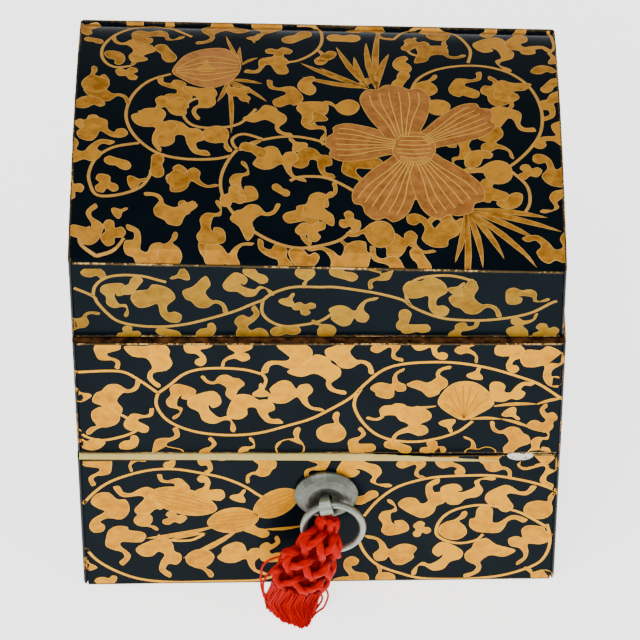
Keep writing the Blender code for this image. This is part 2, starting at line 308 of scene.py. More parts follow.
def makeGoldFilm(name, body, dark, rim, roughness=0.42, metallic=0.4):
    # Gold powder sprinkled on wet lacquer and burnished: paler along each outline, mottled orange where it thins
    material, tree, shader = startMaterial(name)
    shade = calc(tree, "ADD", noise(tree, 2.4, 5.0, 0.65), attribute(tree, "tone"))
    fill = blend(tree, ramp(tree, shade, 0.80, 1.15), dark, body)
    grain = noise(tree, 0.35, 2.0)
    setShader(tree, shader, {
        "Base Color": blend(tree, ramp(tree, attribute(tree, "edge"), 0.2, 0.9), fill, rim),
        "Metallic": metallic, "Specular IOR Level": 0.06,
        "Roughness": ramp(tree, grain, start=roughness - 0.1, end=roughness + 0.14)}, (0.25, 0.06 * mm, grain))
    return material


def makeChipGround():
    # The pale ground of clay and glue that shows where the lacquer has chipped off
    material, tree, shader = startMaterial("bareChalkGround")
    speck = noise(tree, 0.35, 4.0)
    setShader(tree, shader, {"Base Color": blend(tree, ramp(tree, speck, 0.36, 0.42), "#6E5B42", "#EFE6D4"),
                             "Roughness": 0.85, "Specular IOR Level": 0.2}, (0.5, 0.15 * mm, speck))
    return material


lacquer = makeLacquer()
brightGold = makeGoldFilm("burnishedGoldPowder", "#D08E00", "#A86A00", "#E2A62C")
# a darker copy of the same gold for the lid's front: painted shade
shadedGold = makeGoldFilm("smokedGoldPowder", "#98701A", "#74500C", "#AC8438")
agedGold = makeGoldFilm("agedGoldPowder", "#CE8C2A", "#945C12", "#E2AC58", roughness=0.48)
copperGold = makeGoldFilm("copperGoldPowder", "#BE7A3A", "#8E5420", "#E6AC48", roughness=0.5)
# dark mottled brown gold for the case's rim where the lid sits back
darkRimGold = makeGoldFilm("rubbedBrownGold", "#80502A", "#1C120A", "#A87838", roughness=0.55)
# the drawer's gilded top edge in a far paler gold: painted highlight of the light falling on it
paintedHighlightGold = makeGoldFilm("paleEdgeGold", "#FFE78C", "#FFD668", "#FFF4C0", roughness=0.3, metallic=0.0)
chipGround = makeChipGround()
print("materials made")


# Shells: the lacquered solids with their edges rubbed round

shellLook = {
    "lid": {"edge": 0.45 * mm, "wear": 0.9 * mm},
    "case": {"edge": 0.30 * mm, "wear": 0.8 * mm},
    "drawer": {"edge": 0.35 * mm, "wear": 0.8 * mm},
}

chip = {"middle": (0.0458, -0.0412, 0.0425), "halfSize": (0.0040, 0.0024, 0.0027)}


def inChip(point):
    return sum(((c - m) / h) ** 2 for c, m, h in zip(point, chip["middle"], chip["halfSize"])) < 1


def bareChip(shell):
    # The faces inside the chip on the drawer's top edge show the pale ground
    shell.data.materials.append(chipGround)
    for polygon in shell.data.polygons:
        tilted = max(abs(n) for n in polygon.normal) < 0.995
        if inChip(polygon.center) and tilted and polygon.area < 4e-6:
            polygon.material_index = 1


def dressShell(node):
    # A welded copy of the solid, with rounded edges and a band round each flat side that carries the wear and painted
    # highlight mask
    look = shellLook[node]
    bm = bmesh.new()
    bm.from_mesh(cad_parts[node].data)
    bmesh.ops.remove_doubles(bm, verts=bm.verts, dist=1e-6)
    bmesh.ops.dissolve_limit(bm, angle_limit=math.radians(0.4), verts=bm.verts, edges=bm.edges)
    sharp = [edge for edge in bm.edges if len(edge.link_faces) == 2
             and edge.calc_face_angle() > math.radians(35) and edge.calc_length() > 1.2 * mm]
    rounded = bmesh.ops.bevel(bm, geom=sharp, offset=look["edge"], segments=2, profile=0.5, affect="EDGES",
                              clamp_overlap=True)
    narrow = set(rounded["faces"])
    flats = [face for face in bm.faces if face not in narrow]
    front = max((face for face in flats if face.normal.y < -0.9), key=lambda face: face.calc_area())
    front.normal_update()
    forward, corner = front.normal.copy(), front.verts[0].co.copy()
    bmesh.ops.inset_region(bm, faces=flats, thickness=look["wear"], use_boundary=True, use_even_offset=True)
    if node == "drawer":
        # the inset pulls two corners beside the chip in from the flat front, and this puts them back
        for vert in front.verts:
            gap = (vert.co - corner).dot(forward)
            if abs(gap) > 0.2 * mm:
                vert.co -= forward * gap
    # the mask for wear and painted highlight: 1 on the rounded edges, fading across each band
    wear = bm.verts.layers.float.new("wear")
    for vert in bm.verts:
        vert[wear] = 1.0 if any(face in narrow for face in vert.link_faces) else 0.0
    shell = meshObject(node + "Shell", bm, lacquer)
    if node == "drawer":
        bareChip(shell)
    shell.data.shade_smooth()
    shell.data.set_sharp_from_angle(angle=math.radians(50))
    weighted = shell.modifiers.new("flatShading", "WEIGHTED_NORMAL")
    weighted.keep_sharp = True
    smooth = evaluatedMesh(shell)
    shell.modifiers.clear()
    shell.data = smooth
    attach(shell, "drawer" if node == "drawer" else "case")
    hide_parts(node)
    return shell


shells = {node: dressShell(node) for node in ("lid", "case", "drawer")}
print("shells dressed")

# Gold ornament

leafShapes = {
    # outlines in mm with the stalk's end at 0, 0 and the leaf standing up from it
    "A": [(0, 0), (-.94, 1.85), (.2, 3.2), (1.7, 3.2), (1.5, 5.3), (-.57, 7.1), (-.2, 9.5), (1.3, 11.1), (3.4, 11.9),
          (4.7, 10.6), (7.4, 10.6), (8.7, 8.5), (7.7, 5.8), (5.5, 5.6), (3.4, 6.1), (3.4, 2.9), (2.1, .5)],
    "B": [(0, 0), (-.57, 1.06), (.57, 2.6), (0, 4.2), (-1.9, 5.0), (-3.4, 6.3), (-3.2, 9.0), (-2.6, 11.1),
          (-.94, 12.4), (1.3, 12.2), (1.7, 11.1), (4.3, 10.6), (5.3, 9.3), (4.3, 7.4), (1.7, 7.4), (0, 7.4),
          (-.2, 6.1), (1.7, 3.7), (1.7, 2.1), (.57, .26)],
    "C": [(0, 0), (-.57, 1.06), (-.2, 2.6), (-1.7, 3.7), (-3.0, 2.6), (-4.7, 3.4), (-5.5, 5.0), (-4.9, 6.6),
          (-5.8, 8.7), (-5.3, 11.1), (-3.4, 11.9), (.75, 11.9), (2.1, 10.8), (1.7, 8.7), (0, 7.7), (-1.9, 8.2),
          (-2.5, 6.6), (-.75, 5.3), (.94, 3.4), (1.1, 1.85), (.57, 0)],
    "D": [(0, 0), (-.94, .5), (-1.7, 2.6), (-4.3, 3.2), (-6.2, 1.85), (-8.3, 2.6), (-8.1, 4.5), (-7.0, 5.3),
          (-9.2, 6.3), (-9.8, 7.9), (-8.9, 9.5), (-7.4, 10.8), (-6.2, 10.6), (-4.3, 11.4), (-3.0, 9.5), (-3.2, 7.4),
          (-4.7, 5.3), (-2.5, 4.2), (-.75, 2.6)],
    "E": [(0, 0), (-.57, .8), (.38, 2.6), (-.2, 4.5), (-3.0, 4.5), (-4.7, 6.1), (-4.7, 8.5), (-5.3, 10.1),
          (-4.2, 12.7), (-1.1, 12.4), (2.6, 13.5), (3.6, 13), (2.6, 10.3), (0, 9.0), (-.4, 6.1), (.75, 5.0),
          (1.5, 3.2), (.75, .8)],
    "F": [(0, 0), (-.75, .8), (-.57, 3.2), (-1.9, 3.7), (-4.2, 2.6), (-6.4, 3.7), (-7.2, 6.3), (-9.2, 7.9),
          (-9.1, 10.3), (-6.4, 11.9), (-3.8, 12.4), (-2.5, 10.6), (-2.5, 8.5), (-4.2, 7.4), (-4.9, 8.5), (-4.9, 6.9),
          (-3.0, 4.5), (-1.1, 4.8), (.38, 1.6)],
    "G": [(0, 0), (-.6, .7), (-.5, 2.2), (.2, 3.4), (-1.6, 4.4), (-2.9, 6.2), (-2.4, 8.3), (-.8, 9.4), (1.4, 9.2),
          (3.0, 8.0), (3.3, 6.0), (2.3, 4.3), (1.2, 3.3), (.7, 1.9), (.6, .5)],
    "H": [(-3.1, -.5), (-2.7, .7), (-1.3, 1.1), (.1, 1.5), (1.9, 1.9), (3.2, 1.0), (3.0, -.4), (1.6, -.9), (.2, -.8),
          (-1.1, -1.5), (-2.5, -1.4)],
    "J": [(-2.6, -.6), (-2.2, .8), (-.8, 1.5), (.8, 1.3), (1.5, 2.4), (2.7, 2.3), (2.9, .8), (2.2, -.6), (1.0, -1.6),
          (-.8, -1.7)],
    "K": [(-2.2, -1.6), (-3.1, -.4), (-2.3, .8), (-1.0, .7), (-.7, 2.1), (.6, 2.6), (1.7, 1.6), (1.2, .4), (2.7, -.1),
          (2.9, -1.4), (1.6, -2.0), (.2, -1.3), (-1.0, -2.1)],
    "I": [(0, 0), (-.4, .6), (-.5, 1.8), (-1.7, 3.0), (-1.6, 3.9), (0, 4.2), (1.7, 3.8), (1.6, 2.9), (.5, 1.8),
          (.4, .6)],
}
leafOrder = sorted(leafShapes)
leafRim = 0.27 * mm              # the paler line round each leaf


def polygonArea(points):
    return sum(a[0] * b[1] - b[0] * a[1] for a, b in zip(points, points[1:] + points[:1])) / 2


def polygonCentre(points):
    area = polygonArea(points)
    pairs = list(zip(points, points[1:] + points[:1]))
    return tuple(sum((a[k] + b[k]) * (a[0] * b[1] - b[0] * a[1]) for a, b in pairs) / (6 * area) for k in (0, 1))


def depthAcross(outline, index, inward):
    # How far it is from one point of an outline straight across to its far side
    start = outline[index]
    count = len(outline)
    nearest = 1.0
    for k in range(count):
        a, b = outline[k], outline[(k + 1) % count]
        if k in (index, (index - 1) % count):
            continue
        run, rise = b[0] - a[0], b[1] - a[1]
        cross = inward.x * rise - inward.y * run
        if abs(cross) < 1e-12:
            continue
        gapX, gapY = a[0] - start[0], a[1] - start[1]
        reach = (gapX * rise - gapY * run) / cross
        share = (gapX * inward.y - gapY * inward.x) / cross
        if reach > 1e-6 and -0.01 <= share <= 1.01:
            nearest = min(nearest, reach)
    return nearest


def filmLayers(bm):
    layers = bm.verts.layers.float
    return (layers.get("edge") or layers.new("edge")), (layers.get("tone") or layers.new("tone"))


def filmFromOutline(bm, outline, rim, level=0.0, tone=0.5):
    # A flat filled shape with a paler band of the given width inside its outline
    if polygonArea(outline) < 0:
        outline = outline[::-1]
    count = len(outline)
    edge, shade = filmLayers(bm)
    inner = []
    for i, point in enumerate(outline):
        before, after = Vector(outline[i - 1]), Vector(outline[(i + 1) % count])
        along = (after - before).normalized()
        inward = Vector((-along.y, along.x))
        inner.append(Vector(point) + inward * min(rim, 0.4 * depthAcross(outline, i, inward)))
    for _ in range(4):
        # a corner whose band has turned over is drawn back towards the outline
        for i in range(count):
            k = (i + 1) % count
            quad = [outline[i], outline[k], tuple(inner[k]), tuple(inner[i])]
            if polygonArea(quad) <= 0 or (inner[k] - inner[i]).dot(Vector(outline[k]) - Vector(outline[i])) < 0:
                for j in (i, k):
                    inner[j] = Vector(outline[j]).lerp(inner[j], 0.5)
    outerVerts = [bm.verts.new((x, y, level)) for x, y in outline]
    innerVerts = [bm.verts.new((x, y, level)) for x, y in inner]
    for vert in outerVerts:
        vert[edge] = 1.0
    for vert in outerVerts + innerVerts:
        vert[shade] = tone
    for i in range(count):
        k = (i + 1) % count
        bm.faces.new((outerVerts[i], outerVerts[k], innerVerts[k], innerVerts[i]))
    middle = bm.faces.new(innerVerts)
    middle.normal_update()
    bmesh.ops.triangulate(bm, faces=[middle])


def buildLeafStock():
    # Each leaf shape and its mirror image, kept out of the scene and copied by the tree
    stock = bpy.data.collections.new("leafStock")
    facts = []
    for key in leafOrder:
        outline = smoothLine([(x * mm, y * mm) for x, y in leafShapes[key]], 3, closed=True)
        for flip in (1, -1):
            turned = [(x * flip, y) for x, y in outline]
            bm = bmesh.new()
            filmFromOutline(bm, turned, leafRim)
            bm.verts.layers.float.remove(bm.verts.layers.float["tone"])
            name = f"leaf{len(facts):02d}"
            mesh = bpy.data.meshes.new(name)
            bm.to_mesh(mesh)
            bm.free()
            stock.objects.link(bpy.data.objects.new(name, mesh))
            centre = polygonCentre(turned)
            facts.append({"reach": math.hypot(*centre), "lean": math.atan2(centre[1], centre[0])})
    return stock, facts


leafStock, leafFacts = buildLeafStock()


def buildGoldTree():
    # Vines come in as edges and leaves as loose points, all in one flat layout
    tree, given = startTree("laidGold", ("Leaves", "Collection", None), ("Vine spacing", "Float", 0.7 * mm),
                            ("Leaf scale", "Float", 1.0), ("Gold", "Material", None))

    def named(name, kind="FLOAT"):
        return geo(tree, "InputNamedAttribute", {"Name": name}, data_type=kind)["Attribute"]

    split = geo(tree, "SeparateGeometry", {"Geometry": given["Geometry"], "Selection": named("isLeaf")},
                domain="POINT")
    spin = addNode(tree, "FunctionNodeAxisAngleToRotation", {"Axis": (0, 0, 1), "Angle": named("turn")})
    stock = geo(tree, "CollectionInfo", {"Collection": given["Leaves"], "Separate Children": True,
                                         "Reset Children": True})
    leaves = geo(tree, "InstanceOnPoints", {
        "Points": split["Selection"], "Instance": stock["Instances"], "Pick Instance": True,
        "Instance Index": named("kind", "INT"), "Rotation": spin.outputs["Rotation"],
        "Scale": calc(tree, "MULTIPLY", named("size"), given["Leaf scale"])})
    lines = geo(tree, "MeshToCurve", {"Mesh": split["Inverted"]})
    even = geo(tree, "ResampleCurve", {"Curve": lines["Curve"], "Length": given["Vine spacing"]}, mode="LENGTH")
    flat = geo(tree, "SetCurveNormal", {"Curve": even["Curve"]}, mode="Z_UP")
    broad = geo(tree, "SetCurveRadius", {"Curve": flat["Curve"], "Radius": named("halfWidth")})
    stroke = geo(tree, "CurvePrimitiveLine", {"Start": (-1, 0, 0), "End": (1, 0, 0)})
    ribbon = geo(tree, "CurveToMesh", {"Curve": broad["Curve"], "Profile Curve": stroke["Curve"],
                                       "Scale": named("halfWidth")})
    both = addNode(tree, "GeometryNodeJoinGeometry")
    tree.links.new(ribbon["Mesh"], both.inputs[0])
    tree.links.new(leaves["Instances"], both.inputs[0])
    return endTree(tree, both.outputs["Geometry"], given["Gold"])


goldTree = buildGoldTree()


# Each decorated side is a flat layout: its shell, then u to the viewer's right and v up, seen square on

sides = {
    "lidTop": ("lid", (1, 0, 0), (0, 1, 0)),
    "lidFront": ("lid", (1, 0, 0), (0, 0, 1)),
    "tierFront": ("case", (1, 0, 0), (0, 0, 1)),
    "drawerFront": ("drawer", (1, 0, 0), (0, 0, 1)),
    "lidLeft": ("lid", (0, -1, 0), (0, 0, 1)),
    "lidRight": ("lid", (0, 1, 0), (0, 0, 1)),
    "lidBack": ("lid", (-1, 0, 0), (0, 0, 1)),
    "caseLeft": ("case", (0, -1, 0), (0, 0, 1)),
    "caseRight": ("case", (0, 1, 0), (0, 0, 1)),
    "caseBack": ("case", (-1, 0, 0), (0, 0, 1)),
}
shellTrees = {}
for shellName, shell in shells.items():
    shell.data.calc_loop_triangles()
    shellTrees[shellName] = BVHTree.FromPolygons([v.co for v in shell.data.vertices],
                                                 [t.vertices[:] for t in shell.data.loop_triangles])


def sideAxes(side):
    right, up = Vector(sides[side][1]), Vector(sides[side][2])
    return right, up, right.cross(up)


def cast(side, start, direction):
    return shellTrees[sides[side][0]].ray_cast(start, direction)[:2]


def onShell(side, u, v):
    # The point of the shell straight behind a place in the layout, and the surface's direction there
    right, up, out = sideAxes(side)
    return cast(side, right * u + up * v + out * 0.2, -out)


def fromPhoto(side, x, y):
    # Where the line of sight through a pixel of the photograph meets this side
    start, direction = photoRay(x, y)
    right, up, out = sideAxes(side)
    hit, normal = cast(side, start, direction)
    if hit is None or normal.dot(out) < 0.5:
        hit = start + direction * ((sidePlanes[side] - start.dot(out)) / direction.dot(out))
    return right.dot(hit), up.dot(hit)


def linesFromPhoto(side, lines):
    return [[fromPhoto(side, x, y) for x, y in line] for line in lines]


sidePlanes = {}
sideShape = {}
for sideName in sides:
    corners = [v.co for v in shells[sides[sideName][0]].data.vertices]
    (lowU, highU), (lowV, highV), (_, sidePlanes[sideName]) = [
        (min(axis.dot(c) for c in corners), max(axis.dot(c) for c in corners)) for axis in sideAxes(sideName)]
    if sides[sideName][0] == "lid" and sideName != "lidTop":
        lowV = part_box("case")[1][2] + 0.1 * mm       # the lip below this sits inside the case
    if sideName in ("lidFront", "lidBack"):
        # these stop at the ridge where the arch begins
        while highV > lowV:
            hit, normal = onShell(sideName, 0.0, highV - 0.2 * mm)
            if hit is not None and normal.dot(sideAxes(sideName)[2]) > 0.95:
                break
            highV -= 0.05 * mm
    sideShape[sideName] = [(lowU, lowV), (highU, lowV), (highU, highV), (lowU, highV)]

# The lid's ends follow its arch

for sideName in ("lidLeft", "lidRight"):
    lowU, highU = sideShape[sideName][0][0], sideShape[sideName][1][0]
    tops = []
    for step in range(17):
        u = highU - 0.3 * mm - (highU - lowU - 0.6 * mm) * step / 16
        level = 0.12
        while onShell(sideName, u, level)[0] is None and level > 0.08:
            level -= 0.05 * mm
        tops.append((u, level))
    sideShape[sideName] = [sideShape[sideName][0], sideShape[sideName][1]] + tops

# Vine scrolls in pixels of the photograph, each a line of points that the vine passes through

photoVines = {
    "tierFront": [
        [(72, 372), (78, 372), (118, 371), (136, 378), (158, 393)],
        [(158, 393), (169.5, 385), (183, 374.5), (198, 369.5), (219, 368), (244, 369.5), (262, 374)],
        [(262, 374), (266, 380), (262, 390), (256, 395)],
        [(158, 393), (156, 401), (158, 409), (166, 419), (178, 426), (193, 431), (211, 434), (236, 435),
         (261, 432.5), (286, 426), (310, 419), (327, 411), (350, 398), (366, 383), (383, 370), (403, 364),
         (433, 362), (459, 363), (489, 368), (517, 376), (539, 384), (559, 397), (566, 403)],
        [(361, 389), (355, 399), (355, 409), (363, 422.6), (376, 434), (393, 440), (416, 441.6), (439, 438),
         (459, 431), (472.5, 421)],
        [(78, 427.5), (85, 436), (100, 440), (116, 438), (133, 432.5), (143, 424)],
        [(99, 413), (108, 413.5), (120, 414.6), (128, 419), (132, 427.5)],
    ],
    "drawerFront": [
        [(83, 503), (93, 493.5), (106.5, 483.5), (125, 476), (150, 470), (174.5, 469), (201, 473), (224, 478),
         (244, 486), (257, 494), (268, 500)],
        [(86, 546.5), (97, 560), (116.5, 571), (141, 579), (174.5, 582), (216, 583), (257, 580), (280, 574)],
        [(158, 535), (170, 540), (191, 540), (204, 534)],
        [(359, 541), (365, 553), (378, 565), (400, 573), (421, 578), (450, 579), (478, 578), (507, 574),
         (536, 564), (547, 552), (550, 538), (547, 524)],
        [(364, 516), (377, 501), (395, 488), (415, 481), (436, 477), (464, 475.5), (493, 475.5), (522, 480),
         (542, 485), (557, 490)],
        [(547, 527), (533, 519), (519, 512), (500, 507), (478, 505), (457, 509), (444, 516), (437, 526),
         (437, 535), (447, 541), (461, 543), (476, 540), (483, 534)],
    ],
    "lidFront": [
        [(74, 288), (93, 296), (97, 302), (106, 312), (118, 321), (138, 325.5), (162, 326.5), (186, 324),
         (211, 318), (235, 311), (252, 304), (263, 300)],
        [(93, 296), (95, 286), (105, 278), (121, 275), (142, 276), (158, 280), (166, 282)],
        [(263, 300), (273, 293), (293, 287), (320, 287), (335, 287), (361, 290.5), (381, 294), (403, 300),
         (411, 306), (425, 312.5), (442, 318), (462, 320), (487, 320), (513, 317), (533, 312), (551, 303),
         (557, 301)],
        [(263, 300), (262, 312), (270, 321), (284, 326), (301, 325), (320, 321), (333, 313)],
        [(411, 306), (406, 296), (410, 284), (420, 278), (437, 275.5), (454, 276), (470, 280), (476, 283)],
    ],
    "lidTop": [
        [(153, 27), (131, 29), (114, 36), (103, 47), (103, 59), (114, 67), (131, 66)],
        [(153, 27), (171, 29), (185, 34), (192, 37)],
        [(171, 74), (149, 81), (133, 95), (126, 113), (130, 129), (142, 143), (160, 154), (185, 159), (214, 159),
         (230, 156)],
        [(262, 140), (246, 145), (233, 154), (222.5, 172), (221, 190), (230, 209), (247.5, 227), (271, 241),
         (296, 248), (319, 246), (340, 240), (352, 230)],
        [(262, 140), (280, 137), (299, 137), (319, 141), (324, 145)],
        [(262, 140), (240, 150), (232, 140), (243, 134), (262, 139)],
        [(290, 181), (300, 177), (321, 177), (337, 182), (357, 193)],
        [(214, 97), (192, 100), (183, 113), (192, 125), (214, 128), (239, 124), (256, 109)],
        [(139, 143), (114, 147), (97, 157), (89, 172), (90, 184), (97, 195), (117, 195), (139, 188), (149, 177),
         (151, 170)],
        [(96, 256), (81, 245), (80, 234), (90, 227)],
        [(96, 256), (114, 250), (124, 238)],
        [(297, 25), (317, 29), (322, 40), (315, 52), (297, 61), (280, 62)],
        [(411, 91), (418, 79), (436, 70), (461, 66), (487, 67), (511, 74), (530, 88), (541, 109), (541, 131),
         (530, 149), (512, 165), (495, 172), (461, 170)],
        [(512, 172), (527, 186), (530, 202), (525, 213)],
        [(393, 40), (411, 31), (436, 29), (457, 36), (470, 50), (468, 63)],
        [(425, 57), (411, 54), (405, 45), (416, 38)],
        [(548, 31), (554, 47), (548, 54)],
    ],
}

# Leaves in pixels of the photograph: middle of the leaf, end of its stalk, and sometimes its shape

photoLeaves = {
    "tierFront": [
        (108, 353, 118, 369), (153, 358, 159, 388, "E"), (199, 353, 201, 366), (237, 351, 221, 368),
        (290, 356, 262, 373), (115, 396, 140, 379), (103, 419, 87, 434), (141, 419, 153, 408), (179, 398, 173, 419),
        (226, 384, 201, 376), (209, 408, 234, 432, "F"), (251, 408, 286, 423), (261, 392, 261, 378, "I"),
        (292, 394, 324, 411), (320, 371, 346, 394), (168, 446, 176, 427), (211, 447, 210, 437), (249, 447, 250, 437),
        (291, 446, 299, 426), (93, 444, 80, 434, "H"), (129, 444, 122, 437, "H"), (348, 356, 373, 374),
        (391, 350, 403, 361), (433, 348, 446, 359), (469, 348, 477, 363), (511, 356, 514, 373), (545, 363, 559, 389),
        (390, 386, 404, 368), (433, 383, 451, 366), (476, 374, 480, 366, "I"), (509, 391, 534, 384),
        (545, 414, 547, 404), (386, 414, 366, 418), (413, 421, 390, 446), (448, 424, 452, 434, "I"),
        (332, 431, 338, 409), (360, 441, 360, 427), (398, 447, 396, 440, "H"), (433, 448, 430, 440, "H"),
        (472, 444, 464, 436), (511, 437, 491, 421), (511, 413, 520, 420, "I"), (542, 440, 546, 428),
        (82, 396, 74, 388, "I"),
    ],
    "drawerFront": [
        (98, 468, 93, 486), (133, 464, 131, 472), (169, 463, 168, 469), (208, 466, 204, 474), (259, 470, 247, 483),
        (165, 479, 158, 474), (208, 490, 201, 475), (146, 500, 111, 485), (108, 510, 91, 537, "A"),
        (239, 497, 246, 488, "I"), (123, 540, 122, 568, "B"), (161, 553, 172, 578, "C"), (201, 560, 215, 581),
        (241, 555, 268, 576, "D"), (272, 549, 276, 536, "C"), (174, 518, 166, 508, "H"), (148, 523, 158, 530, "G"),
        (256, 530, 250, 540, "H"), (105, 581, 108, 570, "H"), (314, 467, 306, 478), (88, 566, 84, 552, "I"),
        (362, 470, 392, 486, "F"), (414, 465, 424, 479), (451, 462, 463, 475), (496, 462, 510, 479),
        (542, 466, 552, 488), (424, 502, 440, 479, "C"), (464, 491, 496, 478, "F"), (507, 496, 536, 486, "B"),
        (540, 508, 557, 490, "G"), (392, 521, 388, 499, "F"), (421, 529, 435, 524, "H"), (454, 528, 466, 511, "G"),
        (490, 521, 533, 520, "B"), (530, 539, 517, 565, "D"), (392, 551, 365, 535, "D"), (440, 558, 412, 575, "F"),
        (483, 555, 464, 577, "E"), (539, 575, 524, 567, "G"), (384, 576, 378, 565, "G"), (351, 576, 352, 556, "A"),
        (366, 497, 374, 503, "H"),
    ],
    "lidFront": [
        (115, 296, 126, 317, "F"), (132, 285, 150, 287, "H"), (157, 301, 180, 323, "A"), (203, 296, 227, 313, "E"),
        (243, 286, 274, 295, "F"), (256, 275, 248, 283, "H"), (305, 275, 304, 288, "G"), (288, 301, 296, 290, "I"),
        (304, 308, 312, 322, "H"), (250, 327, 253, 306, "C"), (286, 331, 279, 325, "H"), (206, 332, 198, 325, "H"),
        (168, 333, 171, 326, "H"), (128, 333, 117, 328, "H"), (84, 318, 100, 313, "E"), (182, 275, 168, 279, "I"),
        (92, 272, 100, 279, "H"), (344, 274, 340, 287, "H"), (378, 276, 370, 289, "B"), (351, 313, 378, 297, "D"),
        (429, 294, 445, 316, "A"), (403, 320, 421, 314, "H"), (416, 329, 408, 322, "H"), (472, 301, 501, 317, "E"),
        (457, 290, 466, 281, "I"), (522, 296, 550, 299, "F"), (466, 330, 478, 320, "C"), (523, 325, 538, 313, "D"),
        (545, 331, 538, 322, "H"), (320, 326, 312, 320, "G"),
    ],
    "lidTop": [
        (90, 27, 100, 31, "H"), (124, 42, 112, 36, "E"), (115, 56, 109, 62, "H"), (95, 80, 94, 66, "G"),
        (137, 60, 131, 66, "I"), (128, 73, 133, 66, "H"), (165, 37, 185, 37, "F"), (165, 53, 190, 48, "H"),
        (218, 31, 196, 44, "E"), (266, 29, 250, 47, "G"), (297, 37, 306, 48, "H"), (279, 53, 282, 62, "H"),
        (265, 67, 244, 72, "B"), (326, 58, 312, 58, "H"), (172, 88, 160, 76, "C"), (112, 95, 130, 104, "E"),
        (87, 102, 96, 104, "H"), (90, 123, 90, 114, "H"), (165, 107, 138, 112, "D"), (108, 131, 128, 134, "A"),
        (155, 126, 160, 152, "D"), (183, 138, 210, 154, "C"), (219, 138, 231, 152, "G"), (200, 108, 198, 120, "E"),
        (240, 93, 240, 84, "H"), (281, 91, 268, 80, "B"), (307, 87, 316, 80, "H"), (272, 120, 292, 136, "E"),
        (314, 118, 322, 142, "F"), (297, 145, 289, 138, "I"), (316, 163, 335, 177, "C"), (280, 163, 306, 182, "D"),
        (242, 175, 242, 161, "F"), (253, 150, 262, 141, "H"), (84, 149, 114, 143, "C"), (117, 163, 121, 150, "H"),
        (158, 165, 141, 168, "H"), (105, 184, 96, 195, "H"), (135, 182, 149, 179, "I"), (178, 176, 167, 184, "H"),
        (196, 182, 219, 186, "D"), (155, 200, 144, 193, "E"), (92, 216, 96, 204, "B"), (121, 211, 128, 208, "I"),
        (112, 233, 126, 233, "H"), (142, 247, 126, 226, "C"), (172, 245, 176, 232, "G"), (212, 224, 217, 200, "F"),
        (233, 197, 240, 200, "H"), (208, 247, 225, 240, "H"), (232, 252, 254, 243, "D"), (257, 215, 280, 204, "E"),
        (305, 226, 310, 246, "B"), (272, 256, 260, 239, "C"), (324, 200, 335, 182, "E"), (301, 258, 306, 248, "H"),
        (541, 70, 555, 79, "H"), (551, 86, 543, 82, "H"), (497, 52, 511, 72, "F"), (489, 32, 500, 30, "H"),
        (414, 45, 405, 40, "H"), (441, 40, 446, 48, "G"), (443, 54, 466, 56, "E"), (402, 66, 412, 62, "H"),
        (429, 84, 436, 75, "G"), (400, 80, 414, 79, "H"), (432, 104, 418, 97, "G"), (470, 82, 480, 72, "B"),
        (496, 91, 488, 77, "C"), (507, 100, 505, 113, "E"), (509, 120, 536, 131, "B"), (554, 107, 543, 120, "C"),
        (554, 138, 534, 147, "A"), (496, 143, 514, 159, "D"), (459, 149, 459, 172, "F"), (475, 159, 490, 160, "H"),
        (495, 172, 459, 170, "G"), (495, 186, 505, 168, "B"), (513, 201, 495, 197, "H"), (529, 172, 511, 163, "H"),
        (554, 170, 534, 155, "A"), (554, 204, 540, 212, "F"), (555, 247, 523, 240, "C"), (432, 229, 407, 216, "A"),
        (436, 214, 432, 232, "C"), (452, 225, 446, 216, "H"), (414, 247, 436, 252, "D"), (420, 261, 428, 256, "H"),
        (377, 234, 345, 234, "G"), (379, 256, 371, 246, "B"), (343, 257, 307, 249, "D"), (359, 170, 357, 195, "B"),
        (323, 200, 336, 188, "I"), (341, 106, 323, 102, "G"), (318, 118, 300, 132, "I"), (311, 231, 320, 244, "H"),
        (350, 222, 343, 234, "H"), (325, 57, 318, 50, "I"), (415, 194, 415, 186, "I"), (343, 38, 350, 46, "H"),
        (72, 188, 82, 176, "H"), (430, 28, 440, 30, "H"), (520, 30, 530, 34, "H"), (555, 60, 548, 52, "I"),
        (206, 67, 206, 60, "I"), (346, 245, 340, 240, "I"),
    ],
}
petals = {
    # foot and tip in pixels of the photograph, and how wide it is in mm
    "around the heart": [
        ((397, 145), (325, 141), 12.2), ((402, 138), (392, 85), 16.0), ((424, 142), (492, 112), 11.5),
        ((410, 158), (370, 218), 13.8), ((420, 158), (466, 215), 15.2),
    ],
    "heart": ((414, 149), 22, 17),
    "veins": 6,
    "veinWidth": 0.26 * mm,
}
bladeTufts = [
    # foot, then the tips, in pixels of the photograph
    ((368, 88), [(300, 63), (302, 77), (320, 68), (336, 47), (354, 57)], 1.5),
    ((377, 90), [(366, 43), (379, 31), (389, 54)], 1.6),
    ((466, 210), [(455, 263), (466, 272), (483, 268), (504, 259), (537, 268), (537, 240), (562, 232),
                  (548, 218)], 1.5),
    ((228, 80), [(217, 102), (231, 134), (249, 104), (267, 102), (262, 84)], 1.1),
    ((242, 65), [(240, 47), (226, 36), (258, 58)], 0.9),
]
# foot, tip and width in mm
tierBlades = [((436, 406), (393, 408), 0.9), ((494, 406), (537, 404), 1.0), ((537, 404), (566, 398), 0.9),
              ((470, 419), (502, 419), 0.9), ((502, 419), (531, 428), 0.9)]
podBlades = [((212, 527), (146, 538), 1.5), ((236, 531), (183, 558), 1.6), ((300, 526), (264, 529), 1.0),
             ((170, 540), (206, 533), 1.0)]
# middle, half length, half width and tilt in degrees of each pod
pods = [((183, 501), 35, 13, -13), ((233, 520), 26, 12.5, 6), ((276, 503), 25, 13, 24)]
tierVeins = [[(464, 418), (x, y)] for x, y in ((444, 403), (448, 394), (455, 388), (463, 385), (471, 386),
                                               (479, 391), (486, 399))]
closedFlower = [(172, 72), (178, 62), (188, 54), (206, 49), (226, 49), (238, 58), (241, 68), (236, 77), (226, 84),
                (212, 88), (194, 85), (180, 78)]


